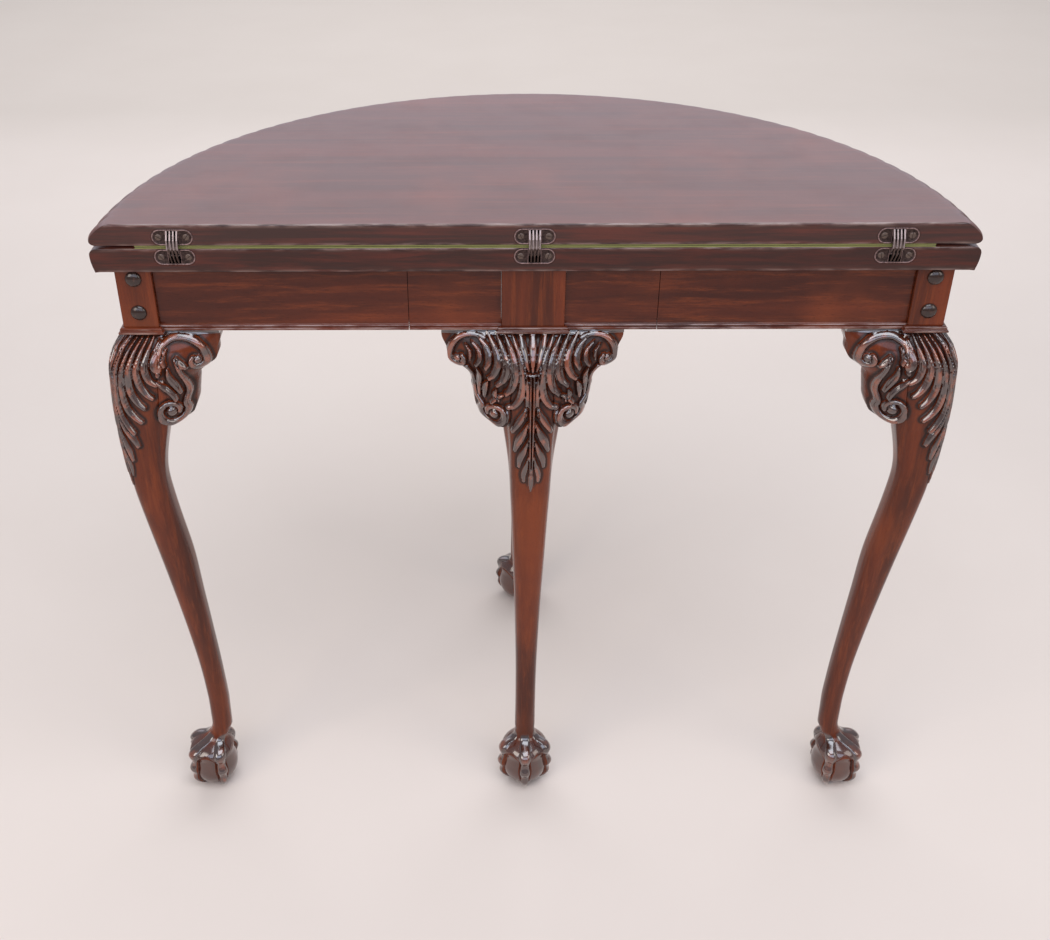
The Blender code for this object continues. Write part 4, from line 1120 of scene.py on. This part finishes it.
def cap_moulding(place, leg):
    """The moulding round a stile's foot: along the outer side of a corner stile, across the face,
    and a short return on each inner side, with mitred corners."""
    side, front = leg.spine[0] or 1, leg.spine[1]
    half_x, half_y = leg.half
    start = half_y - cap_return
    end = -half_y if leg.corner else start
    path = [(-side * half_x, front * start), (-side * half_x, front * half_y)]
    path += [(side * half_x, front * half_y), (side * half_x, front * end)]
    path = leg.middle + np.array(path)
    runs = np.diff(path, axis=0)
    normals = np.stack([runs[:, 1], -runs[:, 0]], -1) / np.linalg.norm(runs, axis=1)[:, None]
    outward = np.sign(((path[1:] + path[:-1]) / 2 - leg.middle) @ normals.T).diagonal()
    normals = normals * outward[:, None]
    mitres = np.array([normals[0], normals[0] + normals[1], normals[1] + normals[2], normals[2]])
    rings = []
    for corner, mitre in zip(path, mitres):
        ring = []
        for reach, height in cap_shares:
            offset = mitre * (joint_gap + cap_reach * reach)
            ring.append((*(corner + offset), knee_top + cap_height * height))
        rings.append(ring)
    worn = {"wear": np.tile(cap_rub_and_highlight, (len(path), 1))}
    name = f"stile_cap_{place}"
    cap = skin(name + "_moulded", np.array(rings), cap_finish, moulding_sharp_angle, worn)
    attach(cap, cap_bodies[place])
    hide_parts(name)


for place, leg in zip(("left", "right", "centre", "front"), legs.values()):
    cap_moulding(place, leg)

# Rails
# Straight mahogany rails close the back, fixed beside the corner stiles and loose beside the centre
# leg, which they slide out with. Two bowed ones carry the front. Each is beaded along its foot.
rail_bottom = knee_top + 0.001
rail_thick = 0.020
rail_rows, frieze_rows = 9, 96
bead = (
    (0.0017, 0), (0.0024, 0.0003), (0.0026, 0.001), (0.0026, 0.0019), (0.0022, 0.0026),
    (0.001, 0.0029), (0.0009, 0.0036), (0.0015, 0.004), (0.0017, 0.0046), (0.0014, 0.0052),
    (0.0006, 0.0057), (0, 0.0062),
)
proud_of_rail = 0.0012
rail_section = [(-rail_thick, rail_bottom)] + [(out, rail_bottom + up) for out, up in bead]
rail_section += [(0, stile_top), (-rail_thick, stile_top)]
# The proud parts of the bead are painted pale: partly rubbed wear, partly a painted highlight.
rubbed_and_highlight = np.array([0] + [out > proud_of_rail for out, _ in bead] + [0, 0], float)
rail_finish = mahogany("frame mahogany", frame_tones, (0.6, 7, 7), 0.22, 0.26, (2, 5, 1), True)
rail_bodies = {"back_rail": "root", "gate_rail": "pull_out_leg"}
for kind, body in rail_bodies.items():
    for side in ("left", "right"):
        name = f"{kind}_{side}"
        low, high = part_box(name)
        face = stile_face + rail_setback
        along = np.linspace(low.x, high.x, rail_rows)
        rings = [[(x, face - out, z) for out, z in rail_section] for x in along]
        worn = {"wear": np.tile(rubbed_and_highlight, (rail_rows, 1))}
        rail = skin(name + "_beaded", np.array(rings), rail_finish, moulding_sharp_angle, worn)
        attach(rail, body)
        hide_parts(name)
frieze_start = stile_setback + 2 * narrow_half + joint_gap
frieze_end = wide_half_width + joint_gap
for side, way in (("left", -1), ("right", 1)):
    rings = []
    for share in np.linspace(0, 1, frieze_rows):
        ring = []
        for out, z in rail_section:
            radius = frieze_radius + out
            start, end = math.asin(frieze_start / radius), math.acos(frieze_end / radius)
            turn = start + (end - start) * share
            ring.append((way * radius * math.cos(turn), back_edge + radius * math.sin(turn), z))
        rings.append(ring)
    worn = {"wear": np.tile(rubbed_and_highlight, (frieze_rows, 1))}
    name = f"frieze_rail_{side}"
    rail = skin(name + "_bowed", np.array(rings), rail_finish, moulding_sharp_angle, worn)
    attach(rail, "root")
    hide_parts(name)

# Leg bolts
# Four ebonised bolts clamp the corner stiles to the frame. Each has a low domed head, scuffed brown
# in patches, and a thin shank that runs back through the stile.
bolt_head, bolt_rim, bolt_rim_round, bolt_shank = 0.0045, 0.00425, 0.96, 0.0036
dome_height, dome_turns = 0.92 * bolt_head, np.linspace(0.12, 1.45, 9)
bolt_sides, bolt_sharp_angle = 48, 40


def ebonised():
    finish = Finish("ebonised bolt heads")
    black, brown = (0.022, 0.0095, 0.0065), (0.085, 0.033, 0.021)
    scuff = finish.noise(finish.place((90, 90, 90)), 3, 5, 0.6)
    colour = finish.blend(finish.level(scuff, 0.5, 0.75) * 0.6, black, brown)
    rough = 0.1 + 0.12 * scuff
    bump = finish.bump(scuff, 0.15, 0.0004)
    return finish.coat(Base_Color=colour, Roughness=rough, Normal=bump, Specular_IOR_Level=0.6)


bolt_finish = ebonised()
for side in ("left", "right"):
    for level in ("upper", "lower"):
        name = f"leg_bolt_{side}_{level}"
        low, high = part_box(name)
        middle = (low + high) / 2
        radius = (high.z - low.z) / 2
        profile = [(radius * math.sin(a), dome_height * (1 - math.cos(a))) for a in dome_turns]
        profile += [(radius, bolt_rim), (radius * bolt_rim_round, bolt_head)]
        profile += [(bolt_shank, bolt_head), (bolt_shank, high.y - low.y)]
        rings = turned(profile, bolt_sides, (middle.x, low.y, middle.z))
        bolt = skin(name + "_domed", rings, bolt_finish, bolt_sharp_angle)
        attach(bolt, "root")
        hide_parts(name)

# Pull-out
# Unpolished beech runners carry the centre leg in grooved guides. A cross rail joins them, and a
# stop bar ends their travel.
beech_arris = 0.0008


def beech(name, stretch):
    finish = Finish(name)
    grain = finish.noise(finish.place(stretch), 6, 5, 0.6, 0.4)
    fleck = finish.patches(0.58, 0.66, finish.place(tuple(7 * part for part in stretch)), 9, 2)
    grime = finish.patches(0.5, 0.8, finish.place((6, 6, 6)), 2)
    colour = finish.blend(finish.level(grain, 0.3, 0.75), (0.17, 0.085, 0.04), (0.34, 0.19, 0.095))
    colour = finish.blend(fleck * 0.5, colour, (0.09, 0.04, 0.02))
    colour = finish.blend(grime * 0.5, colour, (0.1, 0.06, 0.035))
    rough = 0.6 + 0.2 * grain
    return finish.coat(Base_Color=colour, Roughness=rough, Normal=finish.bump(grain, 0.3, 0.0005))


beech_along = beech("beech runners", (9, 0.8, 9))
beech_across = beech("beech cross rail", (0.8, 9, 9))
for wood, names in (
    (beech_along, ("runner_left", "runner_right", "runner_guide_left", "runner_guide_right")),
    (beech_across, ("cross_rail", "stop_bar")),
):
    for name in names:
        nodes[name].material_slots[0].material = wood
        soften_arrises(nodes[name], beech_arris)
